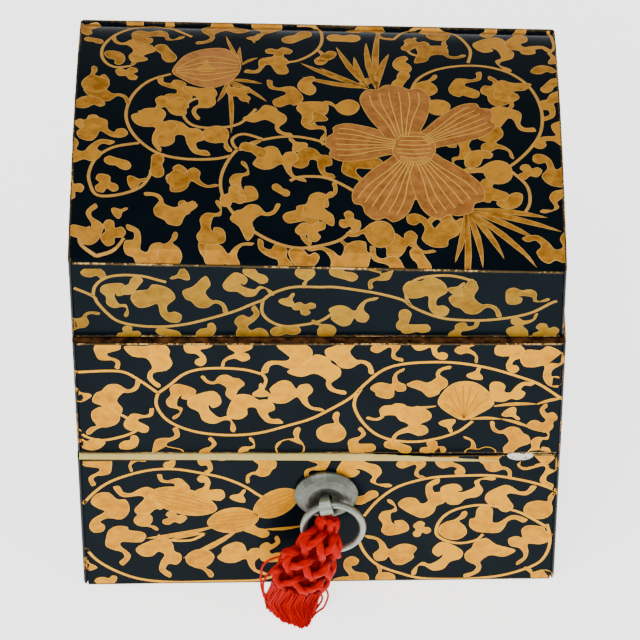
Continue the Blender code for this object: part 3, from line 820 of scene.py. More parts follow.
def petalOutline(foot, tip, width):
    # A petal that widens from a narrow foot to a softly waved tip
    foot, tip = Vector(foot), Vector(tip)
    along = tip - foot
    across = Vector((-along.y, along.x)).normalized()
    share = [(0, .20), (.15, .29), (.35, .40), (.55, .47), (.72, .50), (.84, .46), (.93, .36), (.92, .22), (1.0, .10)]
    right = [foot + along * t + across * (w * width) for t, w in share]
    left = [foot + along * (t - 0.025) - across * (w * width) for t, w in share[::-1]]
    return smoothLine([tuple(p) for p in right + left], 4, closed=True)


def bladeOutline(foot, tip, width):
    foot, tip = Vector(foot), Vector(tip)
    along = tip - foot
    across = Vector((-along.y, along.x)).normalized() * (width / 2)
    share = [(0, .35), (.25, .8), (.5, 1.0), (.75, .75), (.93, .3)]
    bow = across * 0.8
    right = [foot + along * t + across * w + bow * (4 * t * (1 - t)) for t, w in share] + [tip]
    left = [foot + along * t - across * w + bow * (4 * t * (1 - t)) for t, w in share[::-1]]
    return [tuple(p) for p in right + left]


def veinsFrom(foot, tip, width, count, reach=0.86):
    foot, tip = Vector(foot), Vector(tip)
    along = tip - foot
    across = Vector((-along.y, along.x)).normalized() * width
    lines = []
    for i in range(count):
        s = (i + 0.5) / count - 0.5
        lines.append(smoothLine([tuple(foot + along * t + across * (s * w)) for t, w in
                                 ((0.02, .22), (.3, .45), (.6, .78), (reach - 0.10 * abs(s), .84))], 5))
    return lines


# Layouts made by rule, for the sides the photograph doesn't show

hiddenSides = {
    "lidLeft": {"waves": 1.5, "swing": 4.5, "level": 0.090, "seed": 11},
    "lidRight": {"waves": 1.5, "swing": 4.5, "level": 0.090, "seed": 12},
    "lidBack": {"waves": 2.5, "swing": 4.0, "level": 0.0905, "seed": 13},
    "caseLeft": {"waves": 1.5, "swing": 8.0, "level": 0.059, "second": 0.021, "seed": 14},
    "caseRight": {"waves": 1.5, "swing": 8.0, "level": 0.059, "second": 0.021, "seed": 15},
    "caseBack": {"waves": 2.5, "swing": 8.0, "level": 0.059, "second": 0.021, "seed": 16},
}


def waveScroll(side, level, plan, phase):
    # A wandering vine with a curl in the hollow of each half wave
    lowU, highU = sideShape[side][0][0], sideShape[side][1][0]
    span = highU - lowU
    swing = plan["swing"] * mm
    turns = plan["waves"] * 2 * math.pi

    def place(t):
        return lowU + span * t, level + swing * math.sin(turns * t + phase)

    lines = [[place(i / 60) for i in range(61)]]
    halves = int(plan["waves"] * 2)
    for k in range(halves):
        t = (k + 0.5 - phase / math.pi) / halves
        if not 0.02 < t < 0.98:
            continue
        sign = 1 if math.sin(turns * t + phase) > 0 else -1
        centre = Vector((lowU + span * t, level - sign * swing * 0.35))
        size = min(span / halves * 0.36, swing * 1.35)
        start = math.radians(200 if sign > 0 else 160)
        curl = []
        for i in range(34):
            a = start - sign * i * math.radians(13)
            r = size * (1 - 0.018 * i)
            curl.append((centre.x + r * math.cos(a), centre.y + sign * r * 0.85 * math.sin(a)))
        lines.append(curl)
    return lines


def inside(shape, u, v, margin):
    for a, b in zip(shape, shape[1:] + shape[:1]):
        edge = Vector((b[0] - a[0], b[1] - a[1]))
        if edge.length < 1e-6:
            continue
        if (edge.x * (v - a[1]) - edge.y * (u - a[0])) / edge.length < margin:
            return False
    return True


packLook = {
    "size": (0.74, 0.92),
    "smallSize": (0.62, 0.85),
    "leafHalf": 3.4 * mm,
    "vineRoom": 2.7 * mm,
    "smallHalf": 2.6 * mm,
    "smallRoom": 3.0 * mm,
    "smallTries": 720,
    "tone": (0.42, 0.66),
    "growth": {"lidTop": 1.14, "lidFront": 1.05, "tierFront": 1.08, "drawerFront": 1.08},
}


def packedLeaves(side, vines, blocked, seed, gap):
    # Leaves that spring from the vines, kept a leaf's width apart, then small loose ones in what is left
    rng = random.Random(seed)
    look = packLook
    shape = sideShape[side]
    marks = np.array([p for line in vines for p in line])
    bodies = list(blocked)
    starts = [(line[i], line[i + 1]) for line in vines for i in range(0, len(line) - 1, 2)]
    rng.shuffle(starts)
    found = []

    def free(u, v, room, vineRoom):
        if not inside(shape, u, v, -0.5 * mm):
            return False
        if any(math.hypot(u - b[0], v - b[1]) < b[2] + room for b in bodies):
            return False
        return np.hypot(marks[:, 0] - u, marks[:, 1] - v).min() > vineRoom

    for a, b in starts:
        step = Vector((b[0] - a[0], b[1] - a[1]))
        if step.length < 1e-7:
            continue
        for hand in rng.sample((1, -1), 2):
            turn = math.atan2(step.y, step.x) + hand * math.radians(rng.uniform(55, 100))
            kind = rng.randrange(14)
            fact = leafFacts[kind]
            size = rng.uniform(*look["size"])
            reach = fact["reach"] * size
            u, v = a[0] + reach * math.cos(turn), a[1] + reach * math.sin(turn)
            if free(u, v, gap - look["leafHalf"], look["vineRoom"]):
                bodies.append((u, v, look["leafHalf"]))
                found.append((a[0], a[1], kind, turn - fact["lean"], size, rng.uniform(*look["tone"])))
                break
    low, high = np.array(shape).min(0), np.array(shape).max(0)
    for _ in range(look["smallTries"]):
        u, v = rng.uniform(low[0], high[0]), rng.uniform(low[1], high[1])
        if free(u, v, look["smallRoom"], look["smallHalf"]):
            kind = leafOrder.index(rng.choice("HJKI")) * 2 + rng.randrange(2)
            bodies.append((u, v, look["smallHalf"]))
            found.append((u, v, kind, rng.uniform(0, 6.28), rng.uniform(*look["smallSize"]),
                          rng.uniform(*look["tone"])))
    return found


def readLeaves(side, seed):
    # The leaves drawn from the photograph, with the shapes that aren't given picked at random
    rng = random.Random(seed)
    top = side == "lidTop"
    found = []
    for entry in photoLeaves[side]:
        bodyU, bodyV = fromPhoto(side, entry[0], entry[1])
        tailU, tailV = fromPhoto(side, entry[2], entry[3])
        key = entry[4] if len(entry) > 4 else rng.choice("ABCDEFG")
        kind = leafOrder.index(key) * 2 + rng.randrange(2)
        fact = leafFacts[kind]
        away = Vector((bodyU - tailU, bodyV - tailV))
        turn = math.atan2(away.y, away.x)
        if key == "H":
            kind = leafOrder.index(rng.choice("HHJK")) * 2 + rng.randrange(2)
            found.append((bodyU, bodyV, kind, turn + rng.uniform(-.4, .4) + 1.2,
                          rng.uniform(.85, 1.1) * (1.12 if top else 1.0), rng.uniform(*packLook["tone"])))
            continue
        size = min(max(away.length / fact["reach"], 0.78 if top else 0.68), 1.0) * packLook["growth"][side]
        start = Vector((tailU, tailV))
        if away.length > fact["reach"] * size:
            start = Vector((bodyU, bodyV)) - away.normalized() * fact["reach"] * size
        found.append((start.x, start.y, kind, turn - fact["lean"], size, rng.uniform(*packLook["tone"])))
    return found


filmLook = {
    "lift": 0.035 * mm,
    "darkLift": 0.035 * mm,      # how far a dark vein stands over the gold it crosses
    "trim": 0.35 * mm,
    "vineHalf": 0.36 * mm,
    "fineHalf": 0.30 * mm,
    "archStart": 0.0985,         # the lid's arch begins a little over this height
    "ridgeDepth": 2.1 * mm,      # a ray that runs on further has passed the lid's ridge and met the arch behind
}


def layFlat(vines, leaves, gold, extra=None):
    # Runs the tree on one side's layout and returns the flat result; a line whose paleness is below 0 is a dark vein
    points, edges, rows = [], [], []
    for line, halfWidth, pale in vines:
        for i, (u, v) in enumerate(line):
            if i:
                edges.append((len(points) - 1, len(points)))
            points.append((u, v, 0 if pale >= 0 else filmLook["darkLift"]))
            rows.append((0.0, 0, 0.0, 1.0, 0.55 if pale >= 0 else 0.0, halfWidth, max(pale, 0.0)))
    for number, (u, v, kind, turn, size, tone) in enumerate(leaves):
        # leaves that overlap lie one on another, a few thousandths of a millimetre apart
        points.append((u, v, (0.006 + 0.0035 * (number % 7)) * mm))
        rows.append((1.0, kind, turn, size, tone, 0.0, 0.0))
    names = ("isLeaf", "kind", "turn", "size", "tone", "halfWidth", "edge")
    flat = runTree(goldTree, points, edges, dict(zip(names, zip(*rows))),
                   {"Leaves": leafStock, "Vine spacing": 0.7 * mm, "Leaf scale": 1.0, "Gold": gold})
    bm = bmesh.new()
    bm.from_mesh(flat)
    for face in bm.faces:
        if face.normal.z < 0:
            face.normal_flip()
    filmLayers(bm)
    if extra:
        extra(bm)
    return bm


def archCreases():
    found = []
    for level in sorted(v.co.y for v in shells["lid"].data.vertices if v.co.z > filmLook["archStart"]):
        if not found or level - found[-1] > 0.06 * mm:
            found.append(level)
    return found


def cutAcross(bm, point, normal, **settings):
    bmesh.ops.bisect_plane(bm, geom=bm.verts[:] + bm.edges[:] + bm.faces[:], dist=1e-7, plane_co=point,
                           plane_no=normal, **settings)


def wrapFilm(bm, side):
    # Cuts the flat film to the side's outline and lays it on the shell
    shape, trim = sideShape[side], filmLook["trim"]
    if side == "lidTop":
        # cuts at each crease of the arch, so that the film lies flat on every facet
        for cut in archCreases():
            cutAcross(bm, Vector((0, cut, 0)), Vector((0, 1, 0)))
    for a, b in zip(shape, shape[1:] + shape[:1]):
        edge = Vector((b[0] - a[0], b[1] - a[1], 0))
        if edge.length >= 1e-6:
            inward = Vector((-edge.y, edge.x, 0)).normalized()
            cutAcross(bm, Vector((a[0], a[1], 0)) + inward * trim, -inward, clear_outer=True)
    stray = [vert for vert in bm.verts if not inside(shape, vert.co.x, vert.co.y, trim - 0.03 * mm)]
    bmesh.ops.delete(bm, geom=stray, context="VERTS")
    bm.normal_update()
    bmesh.ops.triangulate(bm, faces=bm.faces[:])
    right, up, out = sideAxes(side)
    lost = []
    for vert in bm.verts:
        hit, normal = onShell(side, vert.co.x, vert.co.y)
        # past the lid's ridge the ray runs on to the arch behind it
        past = (side in ("lidFront", "lidBack") and hit is not None
                and sidePlanes[side] - hit.dot(out) > filmLook["ridgeDepth"])
        if hit is None or past or normal.dot(out) < 0.25:
            lost.append(vert)
            vert.co = right * vert.co.x + up * vert.co.y + out * sidePlanes[side]
        else:
            vert.co = hit + normal * (filmLook["lift"] + vert.co.z)
    bmesh.ops.delete(bm, geom=lost, context="VERTS")
    if side == "drawerFront":
        # the pattern has gone with the lacquer where the edge is chipped
        chipped = [face for face in bm.faces if inChip(face.calc_center_median())]
        bmesh.ops.delete(bm, geom=chipped, context="FACES")
    bm.normal_update()
    return bm


def joinFilms(name, parts, gold, body):
    whole = bmesh.new()
    filmLayers(whole)
    for part in parts:
        mesh = bpy.data.meshes.new("part")
        part.to_mesh(mesh)
        part.free()
        whole.from_mesh(mesh)
        bpy.data.meshes.remove(mesh)
    item = meshObject(name, whole, gold)
    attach(item, body)
    print(name, len(item.data.polygons), "triangles")


def sideFilm(side, gold, extra=None, blocked=(), extraVines=(), fill=6.7, seed=1):
    # fill is how far apart, in mm, leaves placed by rule are kept, or 0 for none
    if side in photoVines:
        vineLines = [smoothLine(line, 5) for line in linesFromPhoto(side, photoVines[side])]
        leaves = readLeaves(side, seed)
        bodies = [fromPhoto(side, *entry[:2]) + (packLook["leafHalf"],) for entry in photoLeaves[side]]
    else:
        plan = hiddenSides[side]
        vineLines = waveScroll(side, plan["level"], plan, 0.0)
        if "second" in plan:
            vineLines += waveScroll(side, plan["second"], plan, math.pi)
        leaves, bodies, seed = [], [], plan["seed"]
    if fill:
        leaves += packedLeaves(side, vineLines, bodies + list(blocked), seed, fill * mm)
    vines = [(line, filmLook["vineHalf"], 0.5) for line in vineLines] + list(extraVines)
    return wrapFilm(layFlat(vines, leaves, gold, extra), side)


def drawBlades(bm, side, blades, rim, level, tone):
    for foot, tip, width in blades:
        outline = bladeOutline(fromPhoto(side, *foot), fromPhoto(side, *tip), width * mm)
        filmFromOutline(bm, outline, rim * mm, level * mm, tone)


def podPlace(pod, far, wide):
    # Where a point lies that is so many pixels along the pod and across it
    (x, y), _, _, tilt = pod
    c, s = math.cos(math.radians(-tilt)), math.sin(math.radians(-tilt))
    return fromPhoto("drawerFront", x + far * c - wide * s, y + far * s + wide * c)


def drawPods(bm):
    for pod in pods:
        _, halfLong, halfShort, _ = pod
        # a pod narrows to a blunt point at each end
        turns = [2 * math.pi * i / 28 for i in range(28)]
        ring = [podPlace(pod, halfLong * math.cos(a), halfShort * math.sin(a) * (1 - 0.25 * abs(math.cos(a)) ** 3))
                for a in turns]
        filmFromOutline(bm, ring, 0.25 * mm, 0.02 * mm, 0.46)
    drawBlades(bm, "drawerFront", podBlades, 0.2, 0.01, 0.5)


def podVeins():
    # Fine brown lines scratched along each pod
    lines = []
    for pod in pods:
        _, halfLong, halfShort, _ = pod
        for k in (-0.62, -0.31, 0.0, 0.31, 0.62):
            run = []
            for i in range(9):
                t = -0.8 + 0.2 * i
                run.append(podPlace(pod, t * halfLong * (1 - 0.2 * abs(k)), k * halfShort * (1 - 0.5 * t * t)))
            lines.append((run, filmLook["fineHalf"] * 0.42, -1.0))
    return lines


fanOutline = [(464, 420), (450, 414), (438, 404), (442, 393), (452, 384), (464, 381), (477, 383), (489, 392),
              (494, 404), (479, 414)]


def drawTierFan(bm):
    ring = linesFromPhoto("tierFront", [fanOutline])[0]
    filmFromOutline(bm, smoothLine(ring, 3, closed=True), 0.28 * mm, 0.02 * mm, 0.55)
    drawBlades(bm, "tierFront", tierBlades, 0.2, 0.01, 0.5)


def drawTufts(bm):
    blades = [(foot, tip, width) for foot, tips, width in bladeTufts for tip in tips]
    drawBlades(bm, "lidTop", blades, 0.22, 0.015, 0.45)


# Where leaves placed by rule keep off the flowers and sprays of the lid's top: pixels, then mm round them
topBlocks = [fromPhoto("lidTop", x, y) + (r * mm,) for x, y, r in (
    (414, 149, 7), (350, 141, 6), (372, 141, 6), (398, 106, 7), (470, 122, 6), (450, 134, 6), (388, 196, 7),
    (452, 196, 7), (208, 68, 8), (188, 70, 5), (330, 70, 6), (378, 60, 5), (490, 235, 8), (520, 240, 7),
    (240, 100, 6))]
fanVeins = [(line, filmLook["fineHalf"] * 0.5, -1.0) for line in linesFromPhoto("tierFront", tierVeins)]

joinFilms("tierGold", [sideFilm("tierFront", brightGold, drawTierFan, extraVines=fanVeins, fill=0, seed=3)]
          + [sideFilm(side, brightGold) for side in ("caseLeft", "caseRight", "caseBack")], brightGold, "case")
joinFilms("drawerGold", [sideFilm("drawerFront", brightGold, drawPods, extraVines=podVeins(), fill=0, seed=4)],
          brightGold, "drawer")
joinFilms("lidFrontGold", [sideFilm("lidFront", shadedGold, fill=0, seed=6)], shadedGold, "case")
joinFilms("lidGold", [sideFilm("lidTop", agedGold, drawTufts, topBlocks, fill=6.6, seed=5)]
          + [sideFilm(side, agedGold) for side in ("lidLeft", "lidRight", "lidBack")], agedGold, "case")


def lidFlower():
    # Five broad petals round a heart, and the closed flower behind, in a redder gold with paler veins
    bm = bmesh.new()
    filmLayers(bm)
    veins = []
    for i, (foot, tip, width) in enumerate(petals["around the heart"]):
        ends = fromPhoto("lidTop", *foot), fromPhoto("lidTop", *tip), width * mm
        filmFromOutline(bm, petalOutline(*ends), 0.3 * mm, (0.02 + 0.006 * i) * mm, 0.5)
        veins += veinsFrom(*ends, petals["veins"])
    (x, y), halfWide, halfTall = petals["heart"]
    heart = [fromPhoto("lidTop", x + halfWide * math.cos(a), y + halfTall * math.sin(a))
             for a in np.linspace(0, 2 * math.pi, 25)[:-1]]
    filmFromOutline(bm, heart, 0.3 * mm, 0.056 * mm, 0.56)
    veins += linesFromPhoto("lidTop", [
        [(x - 18 + abs(k) * 2, y + k * 4), (x, y + k * 4.4 + 1), (x + 18 - abs(k) * 2, y + k * 4)]
        for k in range(-3, 4)])
    outline = linesFromPhoto("lidTop", [closedFlower])[0]
    filmFromOutline(bm, smoothLine(outline, 3, closed=True), 0.3 * mm, 0.02 * mm, 0.6)
    veins += [smoothLine(line, 6) for line in linesFromPhoto("lidTop", [
        [(176, 71 + k), (205, 69 + k * 6), (238, 68 + k * 3)] for k in range(-2, 3)])]
    mesh = bpy.data.meshes.new("petalFilm")
    bm.to_mesh(mesh)
    bm.free()
    lined = layFlat([(line, petals["veinWidth"] / 2, 1.0) for line in veins], [], copperGold)
    for vert in lined.verts:
        vert.co.z += 0.075 * mm      # the veins lie over the petals
    lined.from_mesh(mesh)
    return wrapFilm(lined, "lidTop")


joinFilms("lidFlowers", [lidFlower()], copperGold, "case")


# Gilding on the case's rim, where the lid sits back, in dark mottled brown, and on the top edge of the drawer in a
# far paler gold whose paleness is a painted highlight

stripLook = {
    "rimInner": 1.95 * mm,       # how far back the rim shows
    "drawerEnd": 0.040,          # where the drawer's bright edge runs out
    "steps": 90,
    "seed": 31,
}


def edgeStrip(name, frontLine, backLine, gold, body, shade):
    # A long narrow film between two lines of points
    bm = bmesh.new()
    tone = filmLayers(bm)[1]
    front = [bm.verts.new(p) for p in frontLine]
    back = [bm.verts.new(p) for p in backLine]
    for i in range(len(front) - 1):
        bm.faces.new((front[i], front[i + 1], back[i + 1], back[i]))
    for vert in bm.verts:
        vert[tone] = shade
    item = meshObject(name, bm, gold)
    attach(item, body)


def gildEdges():
    look = stripLook
    rng = random.Random(look["seed"])
    low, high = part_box("case")
    rim = high.z + 0.03 * mm
    xs = [low.x + 0.45 * mm + (high.x - low.x - 0.9 * mm) * i / look["steps"] for i in range(look["steps"] + 1)]
    # the case's rim strip in dark mottled brown gold
    edgeStrip("rimGilding", [(x, low.y + 0.25 * mm, rim) for x in xs],
              [(x, low.y + look["rimInner"], rim) for x in xs], darkRimGold, "case", 0.40)
    front = [v.co for v in shells["drawer"].data.vertices if v.co.z > 0.038 and v.co.y < -0.0385]
    top = max(c.z for c in front)
    left = min(front, key=lambda c: c.x)
    right = max(front, key=lambda c: c.x)
    slope = (right.y - left.y) / (right.x - left.x)
    lead = min(c.y - slope * c.x for c in front)
    frontLine, backLine = [], []
    for i in range(look["steps"] + 1):
        x = left.x + 0.5 * mm + (look["drawerEnd"] - left.x) * i / look["steps"]
        y = lead + slope * x + 0.30 * mm
        taper = min(1.0, (look["drawerEnd"] - x) / 0.03)
        frontLine.append((x, y, top + 0.03 * mm))
        backLine.append((x, y + (0.35 + 1.9 * max(taper, 0) + rng.uniform(-.12, .12)) * mm, top + 0.03 * mm))
    # real gilding on the drawer's edge, its paleness a painted highlight
    edgeStrip("drawerEdgeGilding", frontLine, backLine, paintedHighlightGold, "drawer", 0.62)


gildEdges()
print("gold ornament laid")

# Ring pull: a dull white-metal rosette, its staple and the ring

metalLook = {
    "rosette": "#646960",
    "ring": "#8B9387",
    "stain": "#4C4A40",          # dark film in random cloudy patches
    "gritSize": 0.5,
    "ringSteps": 112,
    "wireSteps": 20,
    "ringWobble": 0.035 * mm,
}


def makeWhiteMetal(name, colour, stainShare):
    # Old white metal, perhaps nickel or tinned brass: dull grey, finely pitted, darker in random cloudy patches
    material, tree, shader = startMaterial(name)
    cloud = noise(tree, 2.2, 6.0, 0.65)
    pit = noise(tree, metalLook["gritSize"], 4.0)
    stain = ramp(tree, cloud, 0.38, 0.66, end=stainShare)
    setShader(tree, shader, {"Base Color": blend(tree, stain, colour, metalLook["stain"]), "Metallic": 0.85,
                             "Roughness": ramp(tree, pit, start=0.28, end=0.5)},
              (0.35, 0.12 * mm, calc(tree, "ADD", cloud, pit)))
    return material


rosetteMetal = makeWhiteMetal("agedWhiteMetal", metalLook["rosette"], 0.75)
ringMetal = makeWhiteMetal("wornWhiteMetal", metalLook["ring"], 0.35)
for node, material in (("rosette", rosetteMetal), ("staple", ringMetal)):
    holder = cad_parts[node]
    holder.data.materials.clear()
    holder.data.materials.append(material)


def ringFrame():
    # Middle, size and plane of the ring, from the solid it stands for
    spots = np.array([tuple(v.co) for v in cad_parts["ring"].data.vertices])
    middle = (spots.max(0) + spots.min(0)) / 2
    _, _, axes = np.linalg.svd(spots - spots.mean(0))
    normal = Vector(axes[2])
    flat = spots - middle
    away = np.linalg.norm(flat - np.outer(flat @ axes[2], axes[2]), axis=1)
    wire = (away.max() - away.min()) / 2
    if normal.y > 0:
        normal = -normal
    up = (Vector((0, 0, 1)) - normal * normal.z).normalized()
    return Vector(middle), normal, up, up.cross(normal), (away.max() + away.min()) / 2, wire


ringMiddle, ringNormal, ringUp, ringSide, ringRadius, wireRadius = ringFrame()
print("ring", [round(c, 4) for c in ringMiddle], round(ringRadius, 5), round(wireRadius, 5))


def ringPoint(angle, out=0.0, front=0.0):
    # angle runs from the ring's lowest point towards the viewer's right
    ray = ringSide * math.sin(angle) - ringUp * math.cos(angle)
    return ringMiddle + ray * (ringRadius + out) + ringNormal * front


def buildRing():
    look = metalLook
    rng = random.Random(21)
    waves = [(rng.randint(2, 7), rng.uniform(0, 6.28), rng.uniform(0.3, 1)) for _ in range(5)]
    bm = bmesh.new()
    rings = []
    for i in range(look["ringSteps"]):
        a = 2 * math.pi * i / look["ringSteps"]
        swell = sum(w * math.sin(n * a + p) for n, p, w in waves) / 3
        row = []
        for k in range(look["wireSteps"]):
            b = 2 * math.pi * k / look["wireSteps"]
            r = wireRadius + look["ringWobble"] * (swell - 1) * 0.5
            row.append(bm.verts.new(ringPoint(a, r * math.cos(b), r * math.sin(b))))
        rings.append(row)
    for i, row in enumerate(rings):
        nextRow = rings[(i + 1) % len(rings)]
        for k in range(len(row)):
            j = (k + 1) % len(row)
            bm.faces.new((row[k], row[j], nextRow[j], nextRow[k]))
    bmesh.ops.recalc_face_normals(bm, faces=bm.faces[:])
    ring = meshObject("pullRing", bm, ringMetal)
    ring.data.shade_smooth()
    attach(ring, "ring_pull")
    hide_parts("ring")


buildRing()
print("ring pull made")


# Red silk tassel: a braided knot hung from the ring, ending in a skirt of loose threads

tasselLook = {
    # the silk's lit red, and its painted shade colour
    "bright": "#B00000",
    "shade": "#480002",
    "knot": [(.0024, -.0468, .0272), (-.0001, -.0494, .0207), (-.0034, -.0499, .0134), (-.0051, -.0506, .0080)],
    "halfWidths": [.0022, .0050, .0069, .0066],
    "halfDepths": [.0012, .0026, .0032, .0030],
    "strands": 12,
    "turns": 0.62,               # how often a strand goes round the knot on its way down
    "strandRadius": 0.92 * mm,
    "overUnder": 0.60 * mm,
    "threads": 420,
    "threadRadius": 0.21 * mm,
    # pixels of the photograph that the loose threads pass and reach, from left to right
    "waist": [(266, 598), (276, 606), (290, 610), (304, 607), (318, 598)],
    "ends": [(272, 610), (284, 621), (300, 627), (306, 626), (312, 614)],
    # left is 1 and right -1, where on the knot's length it leaves and comes back, then pixels that it passes
    "loops": [(1, 0.52, 0.97, [(266, 562), (261, 575), (262, 590), (268, 602)]),
              (1, 0.62, 0.92, [(268, 574), (263, 586), (267, 598)]),
              (-1, 0.78, 0.99, [(325, 586), (328, 596), (323, 608), (312, 616)]),
              (-1, 0.84, 0.96, [(321, 592), (322, 600), (315, 609)])],
    "twistsPerMetre": 330,
    "seed": 8,
}


def makeSilk():
    # Dyed silk floss: strong red, softly shining along the thread; the nearly black-red between threads and on
    # strands passing under is painted shade, set by each point's lit value
    material, tree, shader = startMaterial("redSilk")
    fleck = noise(tree, 0.3, 3.0)
    light = ramp(tree, calc(tree, "ADD", fleck, attribute(tree, "lit")), 0.45, 1.15)
    setShader(tree, shader, {"Base Color": blend(tree, light, tasselLook["shade"], tasselLook["bright"]),
                             "Roughness": 0.5, "Specular IOR Level": 0.12, "Specular Tint": "#FF6050"},
              (0.3, 0.1 * mm, fleck))
    return material


silk = makeSilk()


def buildCordTree():
    # Each run of edges becomes a twisted cord with three plies showing
    tree, given = startTree("twistedCord", ("Point spacing", "Float", 0.4 * mm), ("Twist per metre", "Float", 900.0),
                            ("Ply depth", "Float", 0.2), ("Sides", "Int", 12), ("Silk", "Material", None))
    lines = geo(tree, "MeshToCurve", {"Mesh": given["Geometry"]})
    even = geo(tree, "ResampleCurve", {"Curve": lines["Curve"], "Length": given["Point spacing"]}, mode="LENGTH")
    twist = calc(tree, "MULTIPLY", geo(tree, "SplineParameter")["Length"], given["Twist per metre"])
    turned = geo(tree, "SetCurveTilt", {"Curve": even["Curve"], "Tilt": twist})
    circle = geo(tree, "CurvePrimitiveCircle", {"Resolution": given["Sides"], "Radius": 1.0})
    place = geo(tree, "InputPosition")["Position"]
    parts = addNode(tree, "ShaderNodeSeparateXYZ", {"Vector": place}).outputs
    angle = calc(tree, "ARCTAN2", parts["Y"], parts["X"])
    wave = calc(tree, "COSINE", calc(tree, "MULTIPLY", angle, 3.0))
    depth = calc(tree, "MULTIPLY", wave, given["Ply depth"])
    push = addNode(tree, "ShaderNodeVectorMath", {0: place, "Scale": depth}, operation="SCALE").outputs["Vector"]
    plies = geo(tree, "SetPosition", {"Geometry": circle["Curve"], "Offset": push})
    width = geo(tree, "InputNamedAttribute", {"Name": "thick"}, data_type="FLOAT")["Attribute"]
    tube = geo(tree, "CurveToMesh", {"Curve": turned["Curve"], "Profile Curve": plies["Geometry"], "Scale": width,
                                     "Fill Caps": True})
    return endTree(tree, tube["Mesh"], given["Silk"])


cordTree = buildCordTree()


def cordMesh(lines, spacing, twist, plyDepth, sidesRound):
    # lines is a list of points, the thickness at each, and how far each stands in the light, which sets the silk's
    # painted shade
    points, edges, thick, lit = [], [], [], []
    for line, widths, shine in lines:
        for i, point in enumerate(line):
            if i:
                edges.append((len(points) - 1, len(points)))
            points.append(tuple(point))
            thick.append(widths[i])
            lit.append(shine[i] if isinstance(shine, list) else shine)
    return runTree(cordTree, points, edges, {"thick": thick, "lit": lit},
                   {"Point spacing": spacing, "Twist per metre": float(twist), "Ply depth": plyDepth,
                    "Sides": sidesRound, "Silk": silk})


def along(values, t):
    # A smooth reading between a few evenly spaced values
    count = len(values) - 1
    i = min(int(t * count), count - 1)
    f = t * count - i
    f = f * f * (3 - 2 * f) * 0.5 + f * 0.5
    a, b = values[i], values[i + 1]
    if isinstance(a, (tuple, list)):
        return tuple(x + (y - x) * f for x, y in zip(a, b))
    return a + (b - a) * f


def knotFrame(t):
    look = tasselLook
    line = smoothLine(look["knot"], 12)
    i = min(int(t * (len(line) - 1)), len(line) - 2)
    f = t * (len(line) - 1) - i
    middle = Vector(line[i]).lerp(Vector(line[i + 1]), f)
    ahead = (Vector(line[i + 1]) - Vector(line[i])).normalized()
    front = Vector((0, -1, 0))
    front = (front - ahead * front.dot(ahead)).normalized()
    side = ahead.cross(front).normalized()
    return middle, side, front, along(look["halfWidths"], t), along(look["halfDepths"], t)


def braidLines():
    look = tasselLook
    lines = []
    count = look["strands"]
    steps = 64
    for s in range(count):
        hand = 1 if s % 2 else -1
        start = 2 * math.pi * (s // 2) / (count / 2) + (0.35 if hand > 0 else 0)
        line, widths, shine = [], [], []
        for i in range(steps + 1):
            t = i / steps
            a = start + hand * look["turns"] * 2 * math.pi * t
            middle, side, front, wide, deep = knotFrame(t)
            weave = math.cos(count / 2 * a + (math.pi if hand > 0 else 0))
            lift = look["overUnder"] * weave
            line.append(middle + side * ((wide - 0.9 * mm + lift) * math.cos(a))
                        + front * ((deep - 0.5 * mm + lift) * math.sin(a)))
            widths.append(look["strandRadius"] * (0.78 + 0.22 * math.sin(math.pi * min(1, t * 1.2))))
            # strands that pass under the others get painted shade
            shine.append(0.5 + 0.5 * weave)
        lines.append((line, widths, shine))
    return lines


def ringLoops():
    # Cords that pass round the ring's lower left and into the knot
    lines = []
    for k, angle in enumerate((-0.42, -0.24, -0.06, 0.12)):
        loop = []
        for i in range(15):
            a = math.radians(-150 + 300 * i / 14)
            r = wireRadius + 0.62 * mm
            loop.append(ringPoint(angle + 0.05 * math.sin(a), -r * math.cos(a), r * math.sin(a)))
        target, side, front, wide, deep = knotFrame(0.12)
        foot = target + side * (wide * (0.6 - 0.4 * k))
        line = [foot + front * 0.6 * mm] + loop + [foot - front * 0.4 * mm]
        line = [Vector(p) for p in smoothLine([tuple(p) for p in line], 3)]
        lines.append((line, [0.62 * mm] * len(line), 0.8))
    return lines


def floorSpot(x, y, height):
    # The point at a height over the floor that shows at a pixel of the photograph
    start, direction = photoRay(x, y)
    return start + direction * ((height - start.z) / direction.z)


def skirtLines():
    look = tasselLook
    rng = random.Random(look["seed"])
    lines = []
    middle, side, front, wide, deep = knotFrame(0.94)
    waist = [Vector(floorSpot(x, y, 2.6 * mm)) for x, y in look["waist"]]
    ends = [Vector(floorSpot(x, y, 0.6 * mm)) for x, y in look["ends"]]
    for _ in range(look["threads"]):
        s = rng.uniform(-1, 1)
        depth = rng.uniform(-1, 1)
        root = middle + side * (-wide * 0.9 * s) + front * (deep * 0.8 * depth * math.sqrt(1 - s * s))
        place = (s + 1) / 2
        mid = waistPoint(waist, place)
        tip = waistPoint(ends, min(1, max(0, place + rng.uniform(-0.12, 0.12))))
        mid = mid + Vector((rng.uniform(-.5, .5), rng.uniform(-.6, .6), 1.6 * depth * (1 - abs(s)) + .3)) * mm
        reach = rng.uniform(0.55, 1.0)
        tip = mid.lerp(tip, reach) + Vector((rng.uniform(-.7, .7), rng.uniform(-.5, .5), 0)) * mm
        tip.z = rng.uniform(0.3, 0.6 + 1.6 * (1 - reach)) * mm
        mid.z = max(mid.z, 0.5 * mm)
        line = smoothLine([tuple(root), tuple(root.lerp(mid, 0.55)), tuple(mid), tuple(mid.lerp(tip, 0.5)),
                           tuple(tip)], 4)
        line = [Vector((p[0], p[1], max(p[2], 0.26 * mm))) for p in line]
        # each thread gets a random share of painted shade
        lines.append((line, [look["threadRadius"] * rng.uniform(0.8, 1.2)] * len(line), rng.uniform(0.35, 0.9)))
    return lines


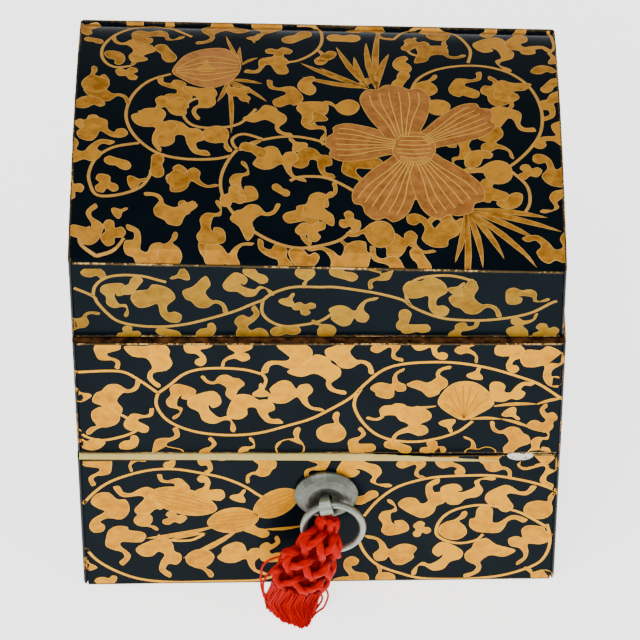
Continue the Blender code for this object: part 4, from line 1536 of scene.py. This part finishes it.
def waistPoint(spots, place):
    i = min(int(place * (len(spots) - 1)), len(spots) - 2)
    return spots[i].lerp(spots[i + 1], place * (len(spots) - 1) - i)


def looseLoops():
    # Pulled threads that stand off the knot, each from one place on its edge to another or down to the floor
    lines = []
    for hand, leave, arrive, pixels in tasselLook["loops"]:
        first, last = [middle + side * (hand * (wide - 0.9 * mm)) for middle, side, _, wide, _ in
                       (knotFrame(leave), knotFrame(arrive))]
        line = [tuple(first)]
        for i, (x, y) in enumerate(pixels):
            depth = first.y + (last.y - first.y) * (i + 1) / (len(pixels) + 1)
            start, direction = photoRay(x, y)
            spot = start + direction * ((depth - start.y) / direction.y)
            line.append(tuple(spot) if spot.z > 0.4 * mm else tuple(floorSpot(x, y, 0.4 * mm)))
        line.append(tuple(last))
        line = [Vector((x, y, max(z, 0.4 * mm))) for x, y, z in smoothLine(line, 6)]
        lines.append((line, [0.28 * mm] * len(line), 0.9))
    return lines


def buildTassel():
    look = tasselLook
    whole = bmesh.new()
    whole.verts.layers.float.new("lit")
    whole.from_mesh(cordMesh(braidLines() + ringLoops(), 0.35 * mm, look["twistsPerMetre"] * 6.28 / 3, 0.16, 12))
    whole.from_mesh(cordMesh(skirtLines() + looseLoops(), 0.6 * mm, 400, 0.0, 5))
    # a soft core behind the braid, so that no gap shows light through it, dark with the silk's painted shade since
    # its lit value is 0
    core = []
    for i in range(15):
        middle, side, front, wide, deep = knotFrame(i / 14)
        core.append([whole.verts.new(middle + side * ((wide - 1.5 * mm) * math.cos(a))
                                     + front * ((deep - 1.0 * mm) * math.sin(a)))
                     for a in np.linspace(0, 2 * math.pi, 25)[:-1]])
    for rowA, rowB in zip(core, core[1:]):
        for k in range(24):
            whole.faces.new((rowA[k], rowA[(k + 1) % 24], rowB[(k + 1) % 24], rowB[k]))
    whole.faces.new(core[0][::-1])
    whole.faces.new(core[-1])
    bmesh.ops.recalc_face_normals(whole, faces=whole.faces[:])
    tassel = meshObject("silkTassel", whole, silk)
    tassel.data.shade_smooth()
    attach(tassel, "ring_pull")
    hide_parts("tassel_knot", "tassel_skirt")
    print("silkTassel", len(tassel.data.polygons), "faces")


buildTassel()
